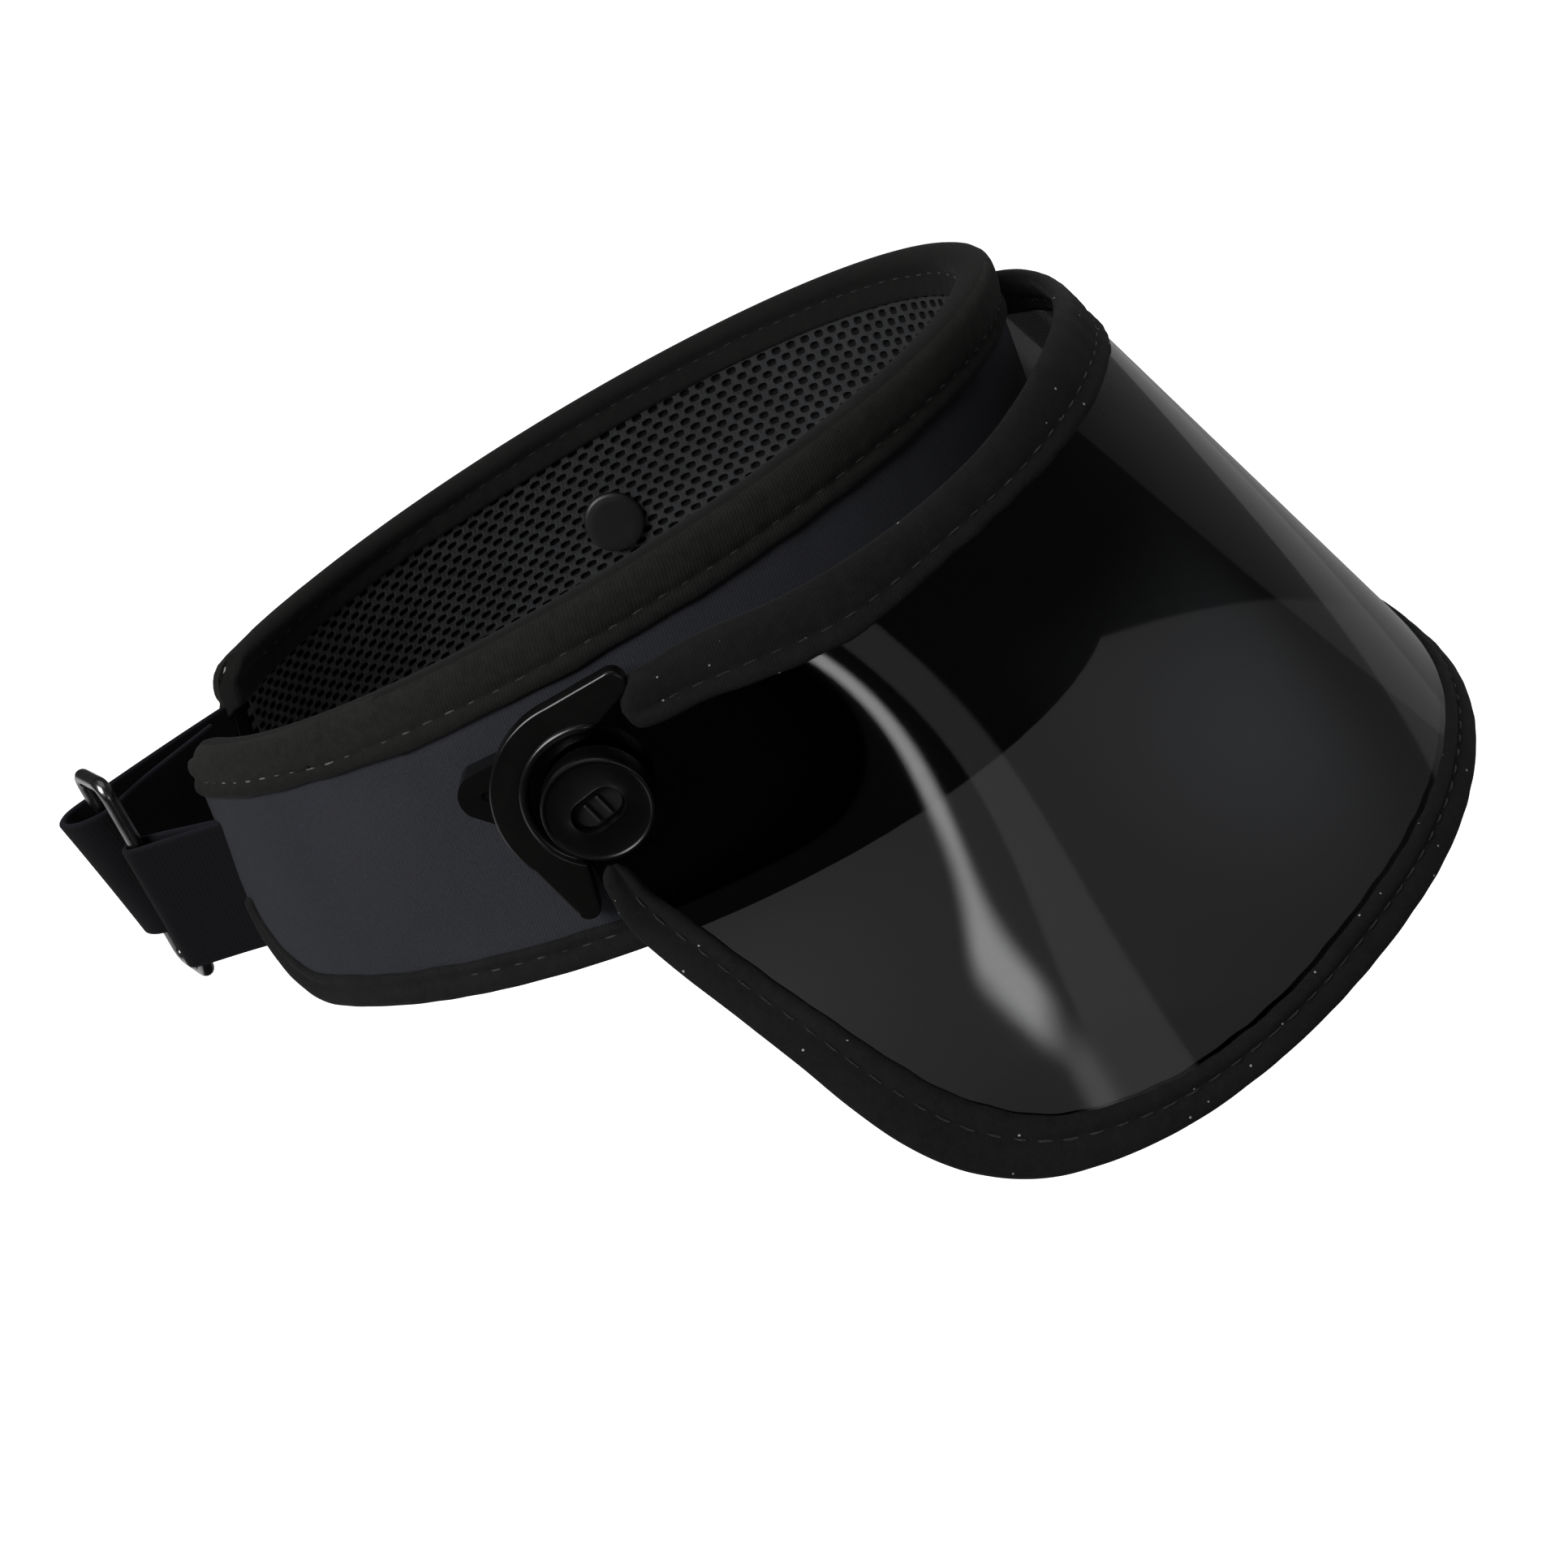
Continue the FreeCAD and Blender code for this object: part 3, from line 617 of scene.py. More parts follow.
# -------------------- head band: air mesh lining
def lining():
    """Knitted spacer mesh: staggered round holes with raised yarn round each, and painted shade in the
    holes.
    """
    z_lo, z_hi = -36.0, 34.0
    row, pitch, radius = 2.35, 4.1, 82.0
    nz = int((z_hi - z_lo) / row)
    span = 0.94 * math.pi
    na = int(2 * span * radius / pitch)
    verts, faces, uv, index, painted_shade_faces = [], [], [], {}, []

    def angle_height(a, b):
        """Angle and height of the lattice place a columns along, b rows up."""
        t = (a / na - 0.5) * 2 * span
        low, high = edge_z(t, LOW_EDGE) + 1.5, edge_z(t, TOP_EDGE) - 2.0
        return t, float(low + (high - low) * b / nz)

    def place(a, b, drop=0.0):
        """Adds a point at a lattice place, drop mm outside the lining's face."""
        t, z = angle_height(a, b)
        t = max(-float(end_t(z, 0.4, -1, BAND_T)), min(float(end_t(z, 0.4, 1, BAND_T)), t))
        x, y = band_xy(t, z, BAND_T + drop)
        verts.append((float(x), float(y), z))
        uv.append((t * radius * MM, z * MM))
        return len(verts) - 1

    def shared(a, b):
        """The point at a lattice place that neighbouring cells share."""
        key = (round(a * 2), round(b * 2))
        if key not in index:
            index[key] = place(a, b)
        return index[key]

    for j in range(nz):
        for i in range(na - 1):
            a0, b0 = i + (0.5 if j % 2 else 0.0), j
            ca, cb = a0 + 0.5, b0 + 0.5
            rim = [shared(a0 + da, b0 + db) for da, db in
                   ((0, 0), (0.5, 0), (1, 0), (1, 0.5), (1, 1), (0.5, 1), (0, 1), (0, 0.5))]
            t, z = angle_height(ca, cb)
            side = 1 if t > 0 else -1
            if abs(t) > float(end_t(z, 3.0, side, BAND_T)):
                if abs(t) < float(end_t(z, 0.4, side, BAND_T)):
                    faces.append(rim)
                continue
            wob = rng.uniform(-0.03, 0.03, 2)
            rings = [rim]
            for ra, rb, drop in ((0.41, 0.45, 0.20), (0.31, 0.385, 0.04), (0.26, 0.335, -0.7)):
                loop = []
                for k in range(8):
                    w = math.radians(225 + 45 * k)
                    g = 1.13 if k % 2 == 0 else 1.0
                    loop.append(place(ca + wob[0] + ra * g * math.cos(w),
                                      cb + wob[1] + rb * g * math.sin(w), drop))
                rings.append(loop)
            for lower, upper in zip(rings, rings[1:]):
                faces += [[lower[k], lower[k - 7], upper[k - 7], upper[k]] for k in range(8)]
            faces.append(rings[-1])
            # the walls and floor of this hole take the near-black lining copy: painted shade
            painted_shade_faces += range(len(faces) - 9, len(faces))
    obj = piece("band_lining", verts, faces, "liner", "headband", "mesh_liner", ("band_liner",), uv)
    obj.data.materials.append(MAT["liner_painted_shade"])
    for i in painted_shade_faces:
        obj.data.polygons[i].material_index = 1


# -------------------- head band: bindings
def top_binding():
    """Tape folded over the top edge: (depth, height) down the outer face and up the lining."""
    legs = [(-0.20, -9.6), (-0.75, -9.4), (-1.0, -8.9), (-1.05, -8.1), (-0.85, -7.3),
            (-0.55, -6.7), (-0.5, -6.3), (-0.6, -5.9), (-0.9, -5.3), (-1.1, -4.4), (-1.2, -3.1),
            (-1.2, -1.8), (-1.12, -0.8), (-0.75, 0.3), (0.1, 1.1), (1.2, 1.5), (2.4, 1.6)]
    inner = [(-0.25, -8.2), (-0.6, -8.0), (-0.7, -7.2), (-0.62, -5.6), (-0.5, -4.4), (-0.35, -3.6),
             (-0.4, -3.1), (-0.8, -2.4), (-1.1, -1.5), (-1.12, -0.6), (-0.75, 0.35), (0.1, 1.1),
             (1.2, 1.5)]
    prof = np.array(legs + [(BAND_T - d, h) for d, h in inner[::-1]])
    nu = 760
    u = np.linspace(-1, 1, nu)[:, None]
    length = u * HALF_GIRTH
    depth, height = (np.tile(column, (nu, 1)) for column in prof.T)
    stitch_pull = 0.16 * np.exp(-((height + 6.3) / 1.3) ** 2) * np.sin(length * 2 * math.pi / 4.5)
    ripple = 0.10 * waves(length, 11, 6, 0.2, 1.1)
    depth = MID + (depth - MID) * (1 + (ripple + stitch_pull * 0.5) / 3.6)
    height = height + np.where(height < -8.4, 0.35 * waves(length, 12, 6, 0.1, 0.7), 0.0)
    depth = MID + (depth - MID) * pinch(np.clip((np.abs(u) - 0.991) / 0.009, 0, 1))
    z = edge_at(u, TOP_EDGE, -1.1)[0] + height
    obj = skin("band_binding_top_tape", band_point(spread(u, z, -1.1), z, depth), length, height,
               "band_binding", "headband", "band_binding", ("band_binding_top",))
    # faces inside the band take the darker copy of the tape: painted shade
    obj.data.materials.append(MAT["binding_inside_painted_shade"])
    for poly in obj.data.polygons:
        x, y, _ = poly.center
        if math.hypot(x / 0.0729, (y - 0.0011) / 0.0911) < 0.985:
            poly.material_index = 1
    u = np.linspace(-0.965, 0.965, 1200)
    z = edge_at(u, TOP_EDGE, -1.1)[0] - 6.3 + 0.12 * waves(u * HALF_GIRTH, 14)
    t = spread(u, z, -1.1)
    # the inner row takes the near-black copy of the thread: painted shade
    for tag, d, s, rise, key in (("outer", -0.42, 1, 0.0, "thread_light"),
                                 ("inner", BAND_T + 0.30, -1, 2.8, "thread_inside_painted_shade")):
        stitches("band_top_stitches_" + tag, band_point(t, z + rise, d), band_out(t) * s,
                 "headband", "band_binding", key, 0.19)


def bottom_binding():
    """Tape folded over the bottom edge, turning up round both rear corners."""
    zs = np.linspace(-15.8, -34.0, 60)
    corner = {}
    for side in (-1, 1):
        turn = np.stack([side * end_t(zs, 0.0, side, MID), zs], 1)
        corner[side] = turn[turn[:, 1] > edge_z(turn[:, 0], LOW_EDGE)]
    t_mid = np.linspace(3.0, -3.0, 800)
    bottom = np.stack([t_mid, edge_z(t_mid, LOW_EDGE)], 1)
    low = np.minimum(bottom[:, 1], -20.0)
    bottom = bottom[(t_mid < end_t(low, 0.0, 1, MID)) & (t_mid > -end_t(low, 0.0, -1, MID))]
    tz = np.vstack([corner[1], bottom, corner[-1][::-1]])
    n = 900
    line = resample(band_point(tz[:, 0], tz[:, 1], MID), n)
    for _ in range(60):
        line[1:-1] = (line[:-2] + 2 * line[1:-1] + line[2:]) / 4
    line, t = on_band(line, MID)
    nor = unit(band_out(t))
    up = np.cross(unit(np.gradient(line, axis=0)), nor)
    if up[n // 2, 2] < 0:
        up = -up
    legs = [(-0.15, 6.0), (-0.6, 5.8), (-0.85, 5.2), (-0.78, 4.5), (-0.55, 4.0), (-0.5, 3.6),
            (-0.6, 3.2), (-0.9, 2.6), (-1.15, 1.6), (-1.15, 0.5), (-0.8, -0.4), (0.3, -1.0), (2.4, -1.2)]
    prof = np.array(legs + [(BAND_T - d, h) for d, h in legs[-2::-1]])
    length = run(line)[:, None]
    depth, height = (np.tile(column, (n, 1)) for column in prof.T)
    ripple = 0.12 * waves(length, 21, 6, 0.2, 1.1)
    depth = MID + (depth - MID) * (1 + ripple / 3.6)
    height = height + np.where(height > 4.7, 0.3 * waves(length, 22, 6, 0.1, 0.7), 0)
    to_end = from_ends(length)
    depth = MID + (depth - MID) * pinch(np.clip(1 - to_end / 1.6, 0, 1))
    slim = 0.42 + 0.58 * np.clip((to_end - 6.0) / 26.0, 0, 1) ** 0.8
    height = np.where(height > 0, height * slim, height)
    grid = on_band(line[:, None, :] + up[:, None, :] * height[..., None], depth)[0]
    skin("band_binding_bottom_tape", grid, length, height, "bottom_binding", "headband",
         "band_binding", ("band_binding_bottom",))
    sewn = slice(110, -110)
    seam = line[sewn] + up[sewn] * 3.6
    for tag, d, s in (("outer", -0.42, 1), ("inner", BAND_T + 0.42, -1)):
        stitches("band_bottom_stitches_" + tag, on_band(seam, d)[0], nor[sewn] * s, "headband",
                 "band_binding", "thread_faint", 0.18)


# -------------------- visor bindings and sheet
def between(one, other, k):
    """(angle, s) at a share k of the way from one visor edge to another."""
    return [p[:, None] * (1 - k) + q[:, None] * k for p, q in zip(one, other)]


def visor_tape(name, node, outer, inner, section, seam_at, seed):
    """Tape folded over a visor edge; the section is (share across, proud of the sheet)."""
    outer, inner = whole_edge(outer, 420), whole_edge(inner, 420)
    prof = np.array(section + [(q, -g) for q, g in section[-1:0:-1]])
    edge = visor_point(*outer, 0.0)
    length = run(edge)[:, None]
    width = np.linalg.norm(visor_point(*inner, 0.0) - edge, axis=1)[:, None]
    q, g = (np.tile(column, (len(edge), 1)) for column in prof.T)
    q = q + np.where(q > 0.9, 0.3 * waves(length, seed, 6, 0.1, 0.8), 0) / width
    to_end = from_ends(length)
    g = g * (1 + 0.07 * waves(length, seed + 1, 6, 0.2, 1.1)) * pinch(np.clip(1 - to_end / 2.6, 0, 1))
    turn_in = np.sqrt(np.clip(1 - np.clip(1 - to_end / 3.5, 0, 1) ** 2, 0.12, 1))
    q = 0.5 + (q - 0.5) * turn_in
    skin(name, visor_point(*between(outer, inner, q), g), length, q * width, "visor_binding",
         "visor", "visor_binding", (node,))
    a, s = (v[8:-8, 0] for v in between(outer, inner, seam_at))
    for tag, side in (("outer", 1), ("inner", -1)):
        p = visor_point(a, s, side * 1.28)
        stitches(name + "_stitches_" + tag, p, visor_point(a, s, side * 2.28) - p, "visor",
                 "visor_binding", "thread_dark", 0.17)


def lens():
    """Smooth tinted sheet between its two edges, with a hub hole in each ear."""
    n, across, half = 400, 44, 0.45
    upper = np.vstack([arc3((16.4, 0.0), (12.83, 8.63), (-1.2, 12.3)),
                       [(y, z - 1.2) for y, z in EDGE_UP]])
    lower = np.vstack([arc3((16.4, 0.0), (14.6, -6.4), (9.0, -11.2)),
                       [(y, z + 1.2) for y, z in EDGE_RIM]])
    a, s = between(whole_edge(upper, n), whole_edge(lower, n), np.linspace(0, 1, across))
    grid = np.concatenate([visor_point(a, s, half), visor_point(a, s, -half)[:, ::-1]], 1)
    obj = piece("visor_sheet", grid.reshape(-1, 3), tube_faces(len(a), 2 * across), "lens",
                "visor", "lens_tint", ("visor_lens",))
    bm = bmesh.new()
    bm.from_mesh(obj.data)
    bmesh.ops.remove_doubles(bm, verts=bm.verts, dist=0.00002)
    hole = 5.95 * MM
    inside = [v for v in bm.verts if abs(v.co.x) > 0.07
              and math.hypot(v.co.y - PIVOT_Y * MM, v.co.z) < hole]
    bmesh.ops.delete(bm, geom=inside, context="VERTS")
    for side in (-1, 1):
        rim = [e for e in bm.edges if e.is_boundary and e.verts[0].co.x * side > 0]
        for v in {v for e in rim for v in e.verts}:
            y, z = v.co.y - PIVOT_Y * MM, v.co.z
            r = math.hypot(y, z)
            v.co.y, v.co.z = PIVOT_Y * MM + y * hole / r, z * hole / r
        bmesh.ops.bridge_loops(bm, edges=rim)
    bm.to_mesh(obj.data)
    bm.free()
    outward(obj, 40)


# -------------------- webbing
def ribbon(name, path, lean, z_span, thick, material, slot, node, n, edge=0.6):
    """Flat webbing standing on edge along a plan path, with rounded selvedges."""
    full = smooth_curve(np.c_[np.asarray(path, float), np.asarray(lean, float)], n)
    p, lean = full[:, :2], full[:, 2:]
    tan = unit(np.gradient(p, axis=0))
    side = np.stack([-tan[:, 1], tan[:, 0]], 1)
    length = run(p)[:, None]
    h = (z_span[1] - z_span[0]) / 2
    section = [(k * (h - edge), 0.5 - 0.06 * (1 - k * k)) for k in np.linspace(-1, 1, 15)]
    section += [(h - edge + edge * math.sin(w), 0.5 * math.cos(w))
                for w in np.linspace(0.25, math.pi - 0.25, 7)]
    up, out = np.array(section + [(-z, -o) for z, o in section]).T
    k = up / h
    curl = 0.12 * waves(length, 31, 5, 0.05, 0.3) * k ** 2
    xy = p[:, None, :] + side[:, None, :] * (out * thick + curl)[..., None]
    xy[..., 1] += lean * k
    z = np.tile(sum(z_span) / 2 + up, (n, 1))
    skin(name, np.concatenate([xy, z[..., None]], -1), length, z - z_span[0], material, "headband",
         slot, (node,))


def wall_y(x, depth, heights):
    """Mean y of the rear wall at x, and half its change between two heights."""
    low, high = (cy + (ry - depth) * math.sqrt(1 - (x / (rx - depth)) ** 2)
                 for cy, rx, ry in map(band_sizes, heights))
    return (low + high) / 2, (high - low) / 2


BAR_IN = (-33.0, 100.5)
BAR_OUT = (-21.5, 109.0)
STRAP_SEWN_X = (42, 37, 32, 27, 22, 17)
STRAP_PATH = [(12, 93.2), (6, 98.0), (-1, 103.2), (-8, 108.1), (-13, 111.4), (-19, 114.6),
              (-24.5, 113.6), (-26.9, 109.4), (-25.2, 104.9), (-19.5, 102.6), (-13, 100.4),
              (-7, 97.7), (-1, 94.7), (5, 91.6)]
STRAP_LEAN = [-0.9, -0.4, 0.2, 0.8, 1.4, 2.0, 2.2, 2.0, 1.8, 1.6, 1.2, 0.7, 0.3, 0.0]

STRAP_Z, HOOK_Z, TAB_Z, RING_Z = (-22.5, 5.5), (-20.5, 3.5), (-28.0, 0.0), (-31.0, 13.0)


def closure():
    """Long strap with its hook patch, and the short loop round the ring's inner bar."""
    sewn = [(x, *wall_y(x, 2.7, STRAP_Z)) for x in STRAP_SEWN_X]
    path = [(x, y) for x, y, _ in sewn] + STRAP_PATH
    lean = [d for _, _, d in sewn] + STRAP_LEAN
    ribbon("strap_long_webbing", path, lean, STRAP_Z, 1.4, "webbing", "webbing", "strap_long", 320)
    pad = [(x + 0.45, y + 1.25) for x, y in path[-4:]]
    ribbon("strap_hook_patch", pad, lean[-4:], HOOK_Z, 1.0, "hook", "hook_pad", "strap_hook_pad",
           60, 0.3)
    eye, tail = np.array(BAR_IN), np.array((-35.6, 83.6))
    d = (tail - eye) / np.linalg.norm(tail - eye)
    nrm = np.array([-d[1], d[0]])
    eyelet = [eye + 2.45 * (nrm * math.cos(w) - d * math.sin(w)) for w in np.linspace(0, math.pi, 9)]
    neck = eye * 0.35 + tail * 0.65
    path = np.array([tail + nrm * 0.62 + d * 1.5, tail + nrm * 0.7, neck + nrm * 1.2] + eyelet
                    + [neck - nrm * 1.2, tail - nrm * 0.7, tail - nrm * 0.62 + d * 1.5])
    far = np.clip(((path - eye) @ d) / 16.0, 0, 1)
    ribbon("strap_tab_webbing", path, -1.4 * far, TAB_Z, 1.15, "webbing", "webbing", "strap_tab", 200)


def wire_ring():
    """Closed rectangular wire loop with rounded corners."""
    a, b = (np.array([*bar, 0.0]) for bar in (BAR_IN, BAR_OUT))
    across = (b - a) / np.linalg.norm(b - a)
    corner_r, wire_r = 2.6, 1.5
    low, high = RING_Z
    pts = []
    for i, (c, z, sx, sz) in enumerate(((a, low, 1, -1), (b, low, -1, -1), (b, high, -1, 1),
                                        (a, high, 1, 1))):
        centre = c + across * sx * corner_r + np.array([0, 0, z - sz * corner_r])
        for w in np.linspace(0, math.pi / 2, 9):
            ex, ez = (math.cos(w), math.sin(w)) if i in (0, 2) else (math.sin(w), math.cos(w))
            pts.append(centre - across * sx * ex * corner_r + np.array([0, 0, sz * ez * corner_r]))
    line = resample(pts + [pts[0]], 221)[:-1]
    tan = unit(np.roll(line, -1, 0) - np.roll(line, 1, 0))
    flat = np.cross(across, [0, 0, 1.0])
    side = np.cross(tan, flat)
    ring = np.linspace(0, 2 * math.pi, 17)[:-1]
    grid = line[:, None, :] + wire_r * (side[:, None, :] * np.cos(ring)[None, :, None]
                                        + flat[None, None, :] * np.sin(ring)[None, :, None])
    outward(piece("strap_wire_ring", grid.reshape(-1, 3), quads(220, 16, True, True), "ring",
                  "ring", "ring_metal", ("strap_ring",)))


# -------------------- hinge parts
def stack(name, rings, side, material, body, slot, nodes=()):
    """A closed part from rings of (rear, up) points, each at its distance from the middle."""
    verts = [(side * x, PIVOT_Y + y, z) for x, ring in rings for y, z in ring]
    faces = tube_faces(len(rings), len(rings[0][1]))
    outward(piece(name, verts, faces, material, body, slot, nodes), 32)


def rounded_plate(name, outline, x0, x1, side, bevel, *rest):
    """Plate between two distances from the middle, with rounded outer edges."""
    p = np.asarray(outline, float)
    area = 0.5 * np.sum(p[:, 0] * np.roll(p[:, 1], -1) - np.roll(p[:, 0], -1) * p[:, 1])
    if area < 0:
        p = p[::-1]
    tan = unit(np.roll(p, -1, 0) - np.roll(p, 1, 0))
    into = np.stack([-tan[:, 1], tan[:, 0]], 1)
    rings = [(x0, p)] + [(x1 - bevel + bevel * math.sin(w), p + into * bevel * (1 - math.cos(w)))
                         for w in np.linspace(0, math.pi / 2, 6)]
    stack(name, rings, side, *rest)


def lathe(name, section, side, *rest, seg=128, hole=()):
    """Turned part on the hinge axis from (distance out, radius) pairs, then the shaft's hole."""
    ang = np.linspace(0, 2 * math.pi, seg + 1)[:-1]
    rings = [(x, [(r * math.cos(w), r * math.sin(w)) for w in ang]) for x, r in section]
    rings += [(x, [stadium(w, grow) for w in ang]) for x, grow in hole]
    stack(name, rings, side, *rest)


ARM_ARCS = (((2.4, 17.64), (17.8, 0.0), (15.2, -9.26)), ((11.4, -19.4), (9.6, -21.4), (7.2, -19.8)),
            ((6.3, -11.14), (12.8, 0.0), (-4.6, 11.944)), ((-10.3, 15.6), (-11.1, 18.4), (-8.0, 19.8)))
LIP_FROM, LIP_TO = math.atan2(-11.14, 6.3), math.atan2(11.944, -4.6)
TILT = math.radians(-20.8)      # how far the shaft's flats are turned


def arm_outline(step=0.35):
    """Even points round the arm plate: its arcs, joined by straight lines."""
    points = np.vstack([ARM_ARCS[-1][-1]] + [arc3(*arc, n=60) for arc in ARM_ARCS])
    return resample(points, int(run(points)[-1] / step))[:-1]


def stadium(w, grow):
    """Point of the flat-sided shaft outline in direction w."""
    r, h = 2.7 + grow, 1.7
    c, s = math.cos(w - TILT), math.sin(w - TILT)
    k = 0.0
    if abs(s) * h < abs(c) * r:
        b = h * abs(c)
        k = b + math.sqrt(max(b * b - (h * h - r * r), 0))
    if abs(k * c) < h:
        k = r / abs(s)
    return k * math.cos(w), k * math.sin(w)


def hinge(name, side):
    """Arm plate, knob and pin of one side."""
    plate = ("hinge", "visor", "hinge_plastic")
    pin = ("headband", "pin_plastic")
    rounded_plate("arm_plate_horns_" + name, arm_outline(), 77.6, 80.6, side, 0.55, *plate,
                  ("arm_plate_" + name,))
    # raised lip along the plate's inner edge, and the floor under the ear
    lip, rows, sides = [], 90, 15
    for k, w in enumerate(np.linspace(LIP_FROM, LIP_TO, rows)):
        ends = math.sqrt(max(1 - (2 * k / (rows - 1) - 1) ** 16, 0.02))
        for v in np.linspace(0, math.pi, sides):
            r = 12.35 + 0.95 * math.cos(v)
            x = 78.5 + 2.5 * abs(math.sin(v)) ** 0.45 * ends
            lip.append((side * x, PIVOT_Y + r * math.cos(w), r * math.sin(w)))
    outward(piece("arm_plate_lip_" + name, lip, tube_faces(rows, sides), *plate), 60)
    lathe("arm_plate_floor_" + name, [(77.6, 5.7), (77.6, 13.2), (78.6, 13.2), (78.6, 5.7)], side,
          *plate)
    lathe("knob_cap_" + name,
          [(81.0, 4.6), (81.0, 9.0), (81.15, 9.25), (81.4, 9.3), (85.35, 9.3), (85.7, 9.24),
           (85.92, 9.08), (86.0, 8.85), (85.98, 8.66), (85.86, 8.5), (85.72, 8.38), (85.66, 8.1),
           (85.68, 6.6), (85.76, 6.2)], side, "knob", "headband", "hinge_plastic", ("knob_" + name,),
          hole=((85.8, 0.62), (85.86, 0.5), (85.84, 0.4), (85.7, 0.34), (83.6, 0.32), (83.6, 0.12)))
    # pin: domed head inside the band, flat-sided shaft, two ribs on its end
    lathe("pin_head_" + name, [(70.4, 7.2), (68.4, 7.3), (67.95, 7.2), (67.65, 6.9), (67.5, 6.5),
                               (67.45, 4.5), (67.43, 0.01)], side, "pin", *pin,
          ("pin_" + name,), seg=96)
    turn = Matrix.Rotation(TILT, 2)
    # the ribs take the lighter copy of the pin's plastic: painted highlight
    for k, off in enumerate((-1.25, 1.25)):
        rib = [tuple(turn @ Vector((off + y, z))) for y, z in
               ((-0.24, -1.9), (0.24, -1.9), (0.24, 1.9), (-0.24, 1.9), (-0.24, -1.9))]
        rounded_plate(f"pin_rib_{name}_{k}", resample(rib, 60)[:-1], 84.2, 85.4, side, 0.12, "rib",
                      *pin)
    # the shaft takes the near-black copy of the pin's plastic: painted shade in the knob's hole
    shaft = [stadium(w, -0.02) for w in np.linspace(0, 2 * math.pi, 97)[:-1]]
    rounded_plate("pin_shaft_" + name, shaft, 68.6, 84.2, side, 0.2, "shaft", *pin)


cover()
lining()
top_binding()
bottom_binding()
visor_tape("visor_top_tape", "visor_binding_top", [(-5.2, 17.4)] + EDGE_UP,
           [(-3.9, 9.6)] + EDGE_UP_IN,
           [(0.0, 0.0), (0.02, 0.9), (0.07, 1.5), (0.16, 1.85), (0.32, 1.9), (0.5, 1.75),
            (0.6, 1.45), (0.66, 1.25), (0.72, 1.4), (0.82, 1.65), (0.92, 1.55), (0.98, 1.1),
            (1.0, 0.5)], 0.66, 41)
visor_tape("visor_rim_tape", "visor_binding_rim", EDGE_RIM, EDGE_RIM_IN,
           [(0.0, 0.0), (0.03, 0.95), (0.1, 1.55), (0.22, 1.88), (0.38, 1.85), (0.52, 1.5),
            (0.6, 1.05), (0.65, 0.95), (0.7, 1.2), (0.8, 1.6), (0.9, 1.5), (0.97, 1.05),
            (1.0, 0.5)], 0.64, 51)
lens()
closure()
wire_ring()
for side_name, side in SIDES:
    hinge(side_name, side)
    bevel = NODES["base_plate_" + side_name].modifiers.new("edges", "BEVEL")
    bevel.width, bevel.segments = 0.35 * MM, 3
    bevel.limit_method, bevel.angle_limit = "ANGLE", math.radians(35)


# -------------------- stage, light, camera
scene = bpy.context.scene
scene.view_settings.view_transform = "Standard"


def studio(n, strength, seen_level, other):
    """White to the eye and through clear sheets, a softer level for everything it lights."""
    rays = n.node("ShaderNodeLightPath").outputs
    seen = n.math("MAXIMUM", rays["Is Camera Ray"], rays["Is Transmission Ray"])
    n.link(n.scaled(seen, 0.0, 1.0, **{"To Min": other, "To Max": seen_level}), strength)


R, FLOOR_Z = 6.0, -0.32
floor_mesh = bpy.data.meshes.new("floor")
floor_mesh.from_pydata([(-R, -R, FLOOR_Z), (R, -R, FLOOR_Z), (R, R, FLOOR_Z), (-R, R, FLOOR_Z)], [],
                       [(0, 1, 2, 3)])
# the brim mirrors a dull floor with two brighter patches, so that it stays dark
n = material("floor_white")
glow, patches = n.node("ShaderNodeEmission"), n.node("ShaderNodeEmission")
studio(n, glow.inputs["Strength"], 1.0, 0.0)
dull = n.node("ShaderNodeBsdfDiffuse", Color=(0.02, 0.02, 0.02, 1))
x, y, _ = n.axes(n.node("ShaderNodeNewGeometry").outputs["Position"])
behind = n.math("MULTIPLY", n.scaled(y, 0.34, 0.44), n.scaled(x, -0.7, -0.55))
beside = n.math("MULTIPLY", n.scaled(x, 0.15, 0.2), 0.22)
n.link(n.math("MAXIMUM", n.math("MULTIPLY", behind, 0.7), beside), patches.inputs["Strength"])
mirrored = n.shaders("ShaderNodeAddShader", patches.outputs[0], dull.outputs[0])
shown = n.shaders("ShaderNodeMixShader", n.node("ShaderNodeLightPath").outputs["Is Glossy Ray"],
                  n.bsdf.outputs[0], mirrored)
n.link(n.shaders("ShaderNodeAddShader", shown, glow.outputs[0]), n.out.inputs["Surface"])
floor_mesh.materials.append(n.finish((0.45, 0.45, 0.45), 1.0, **{"Specular IOR Level": 0.0}))
floor = bpy.data.objects.new("floor", floor_mesh)
scene.collection.objects.link(floor)

scene.world = bpy.data.worlds.new("world")
n = Nodes(scene.world)
back = n.tree.nodes["Background"].inputs
n.put(back["Color"], (1, 1, 1))
studio(n, back["Strength"], 1.02, 0.05)


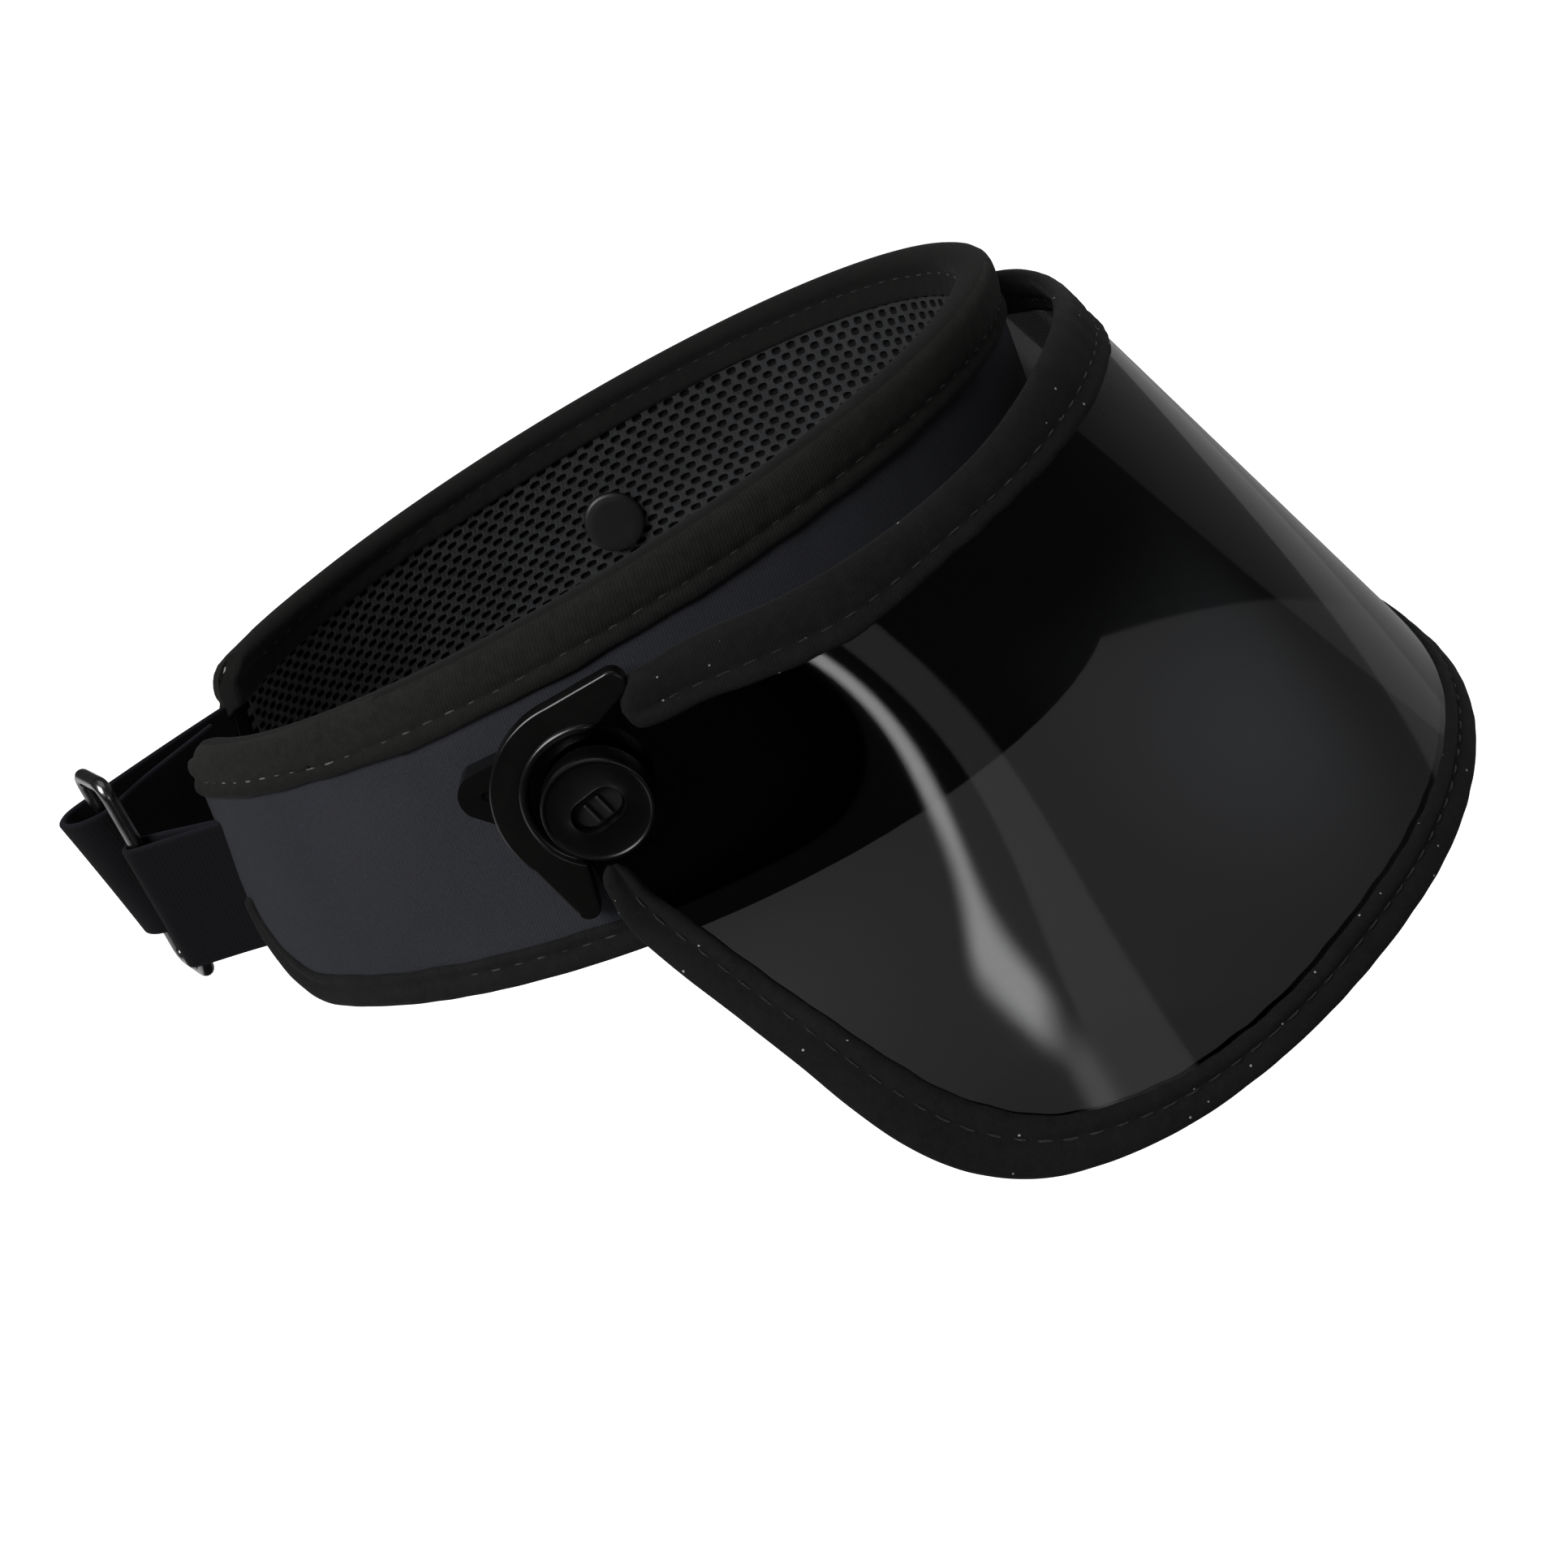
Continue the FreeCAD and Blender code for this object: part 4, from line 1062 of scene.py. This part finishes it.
def soft_box(name, azimuth, elevation, distance, size, size_y, radiance, roll=0.0, centre=(0, 0, 0),
             mirror_only=False, colour=(1, 1, 1), feather=None):
    """Area light seen from the object at that bearing; azimuth 0 is the front, 90 the wearer's left."""
    a, e = math.radians(azimuth), math.radians(elevation)
    way = Vector((math.sin(a) * math.cos(e), -math.cos(a) * math.cos(e), math.sin(e)))
    light = bpy.data.lights.new(name, "AREA")
    light.energy = radiance * math.pi * size * size_y
    light.color = colour
    light.shape, light.size, light.size_y = "RECTANGLE", size, size_y
    obj = bpy.data.objects.new(name, light)
    obj.location = Vector(centre) + way * distance
    obj.rotation_euler = ((-way).to_track_quat("-Z", "Y").to_matrix()
                          @ Matrix.Rotation(math.radians(roll), 3, "Z")).to_euler()
    obj.visible_camera = False
    obj.visible_diffuse = not mirror_only
    scene.collection.objects.link(obj)
    if feather:
        n = Nodes(light)
        place = n.axes(n.node("ShaderNodeNewGeometry").outputs["Parametric"])
        fades = [n.scaled(n.math("PINGPONG", place[k], 0.5), 0.0, width,
                          interpolation_type="SMOOTHSTEP") for k, width in enumerate(feather)]
        n.link(n.math("MULTIPLY", *fades), n.tree.nodes["Emission"].inputs["Strength"])
    return obj


soft_box("key_rear_side", -128, 38, 1.7, 0.9, 0.9, 10.0)
soft_box("overhead", 10, 84, 1.8, 1.5, 1.5, 0.5)
for fill in (soft_box("front_fill", 38, 20, 1.7, 1.3, 1.0, 2.4),
             soft_box("left_fill", 108, 28, 1.7, 1.1, 0.9, 5.0)):
    fill.visible_glossy = False
soft_box("front_panel", -20, 7, 1.6, 2.4, 0.5, 0.3, centre=(-0.02, -0.13, -0.05), mirror_only=True,
         colour=(0.86, 0.95, 1.0), feather=(0.5, 0.5))
soft_box("left_panel", 50, 0, 1.5, 1.44, 2.6, 0.09, roll=37, centre=(0.0, -0.13, -0.04),
         mirror_only=True)
soft_box("streak", -77.5, 2.2, 1.5, 0.46, 0.16, 6.0, roll=-38, centre=(-0.078, -0.065, -0.045),
         mirror_only=True, feather=(0.3, 0.4))
soft_box("streak_end", -71.8, -4.5, 1.5, 0.15, 0.2, 1.3, centre=(-0.065, -0.085, -0.07),
         mirror_only=True, feather=(0.4, 0.4))
soft_box("streak_soft", -64.6, 0.5, 1.5, 0.25, 0.5, 0.4, centre=(-0.07, -0.075, -0.045),
         mirror_only=True)

cam_data = bpy.data.cameras.new("camera")
cam = bpy.data.objects.new("camera", cam_data)
scene.collection.objects.link(cam)
scene.camera = cam
cam_data.sensor_width = 36.0
cam_data.lens = 39.69
cam_data.clip_start, cam_data.clip_end = 0.01, 30.0
right = Vector((-0.07086, -0.94643, -0.31503))
up = Vector((0.43685, -0.31336, 0.84320))
ahead = Vector((0.89675, 0.07787, -0.43565))
turn = Matrix((right, up, -ahead)).transposed()
cam.matrix_world = Matrix.Translation(Vector((-335.10, -47.03, 115.21)) * MM) @ turn.to_4x4()
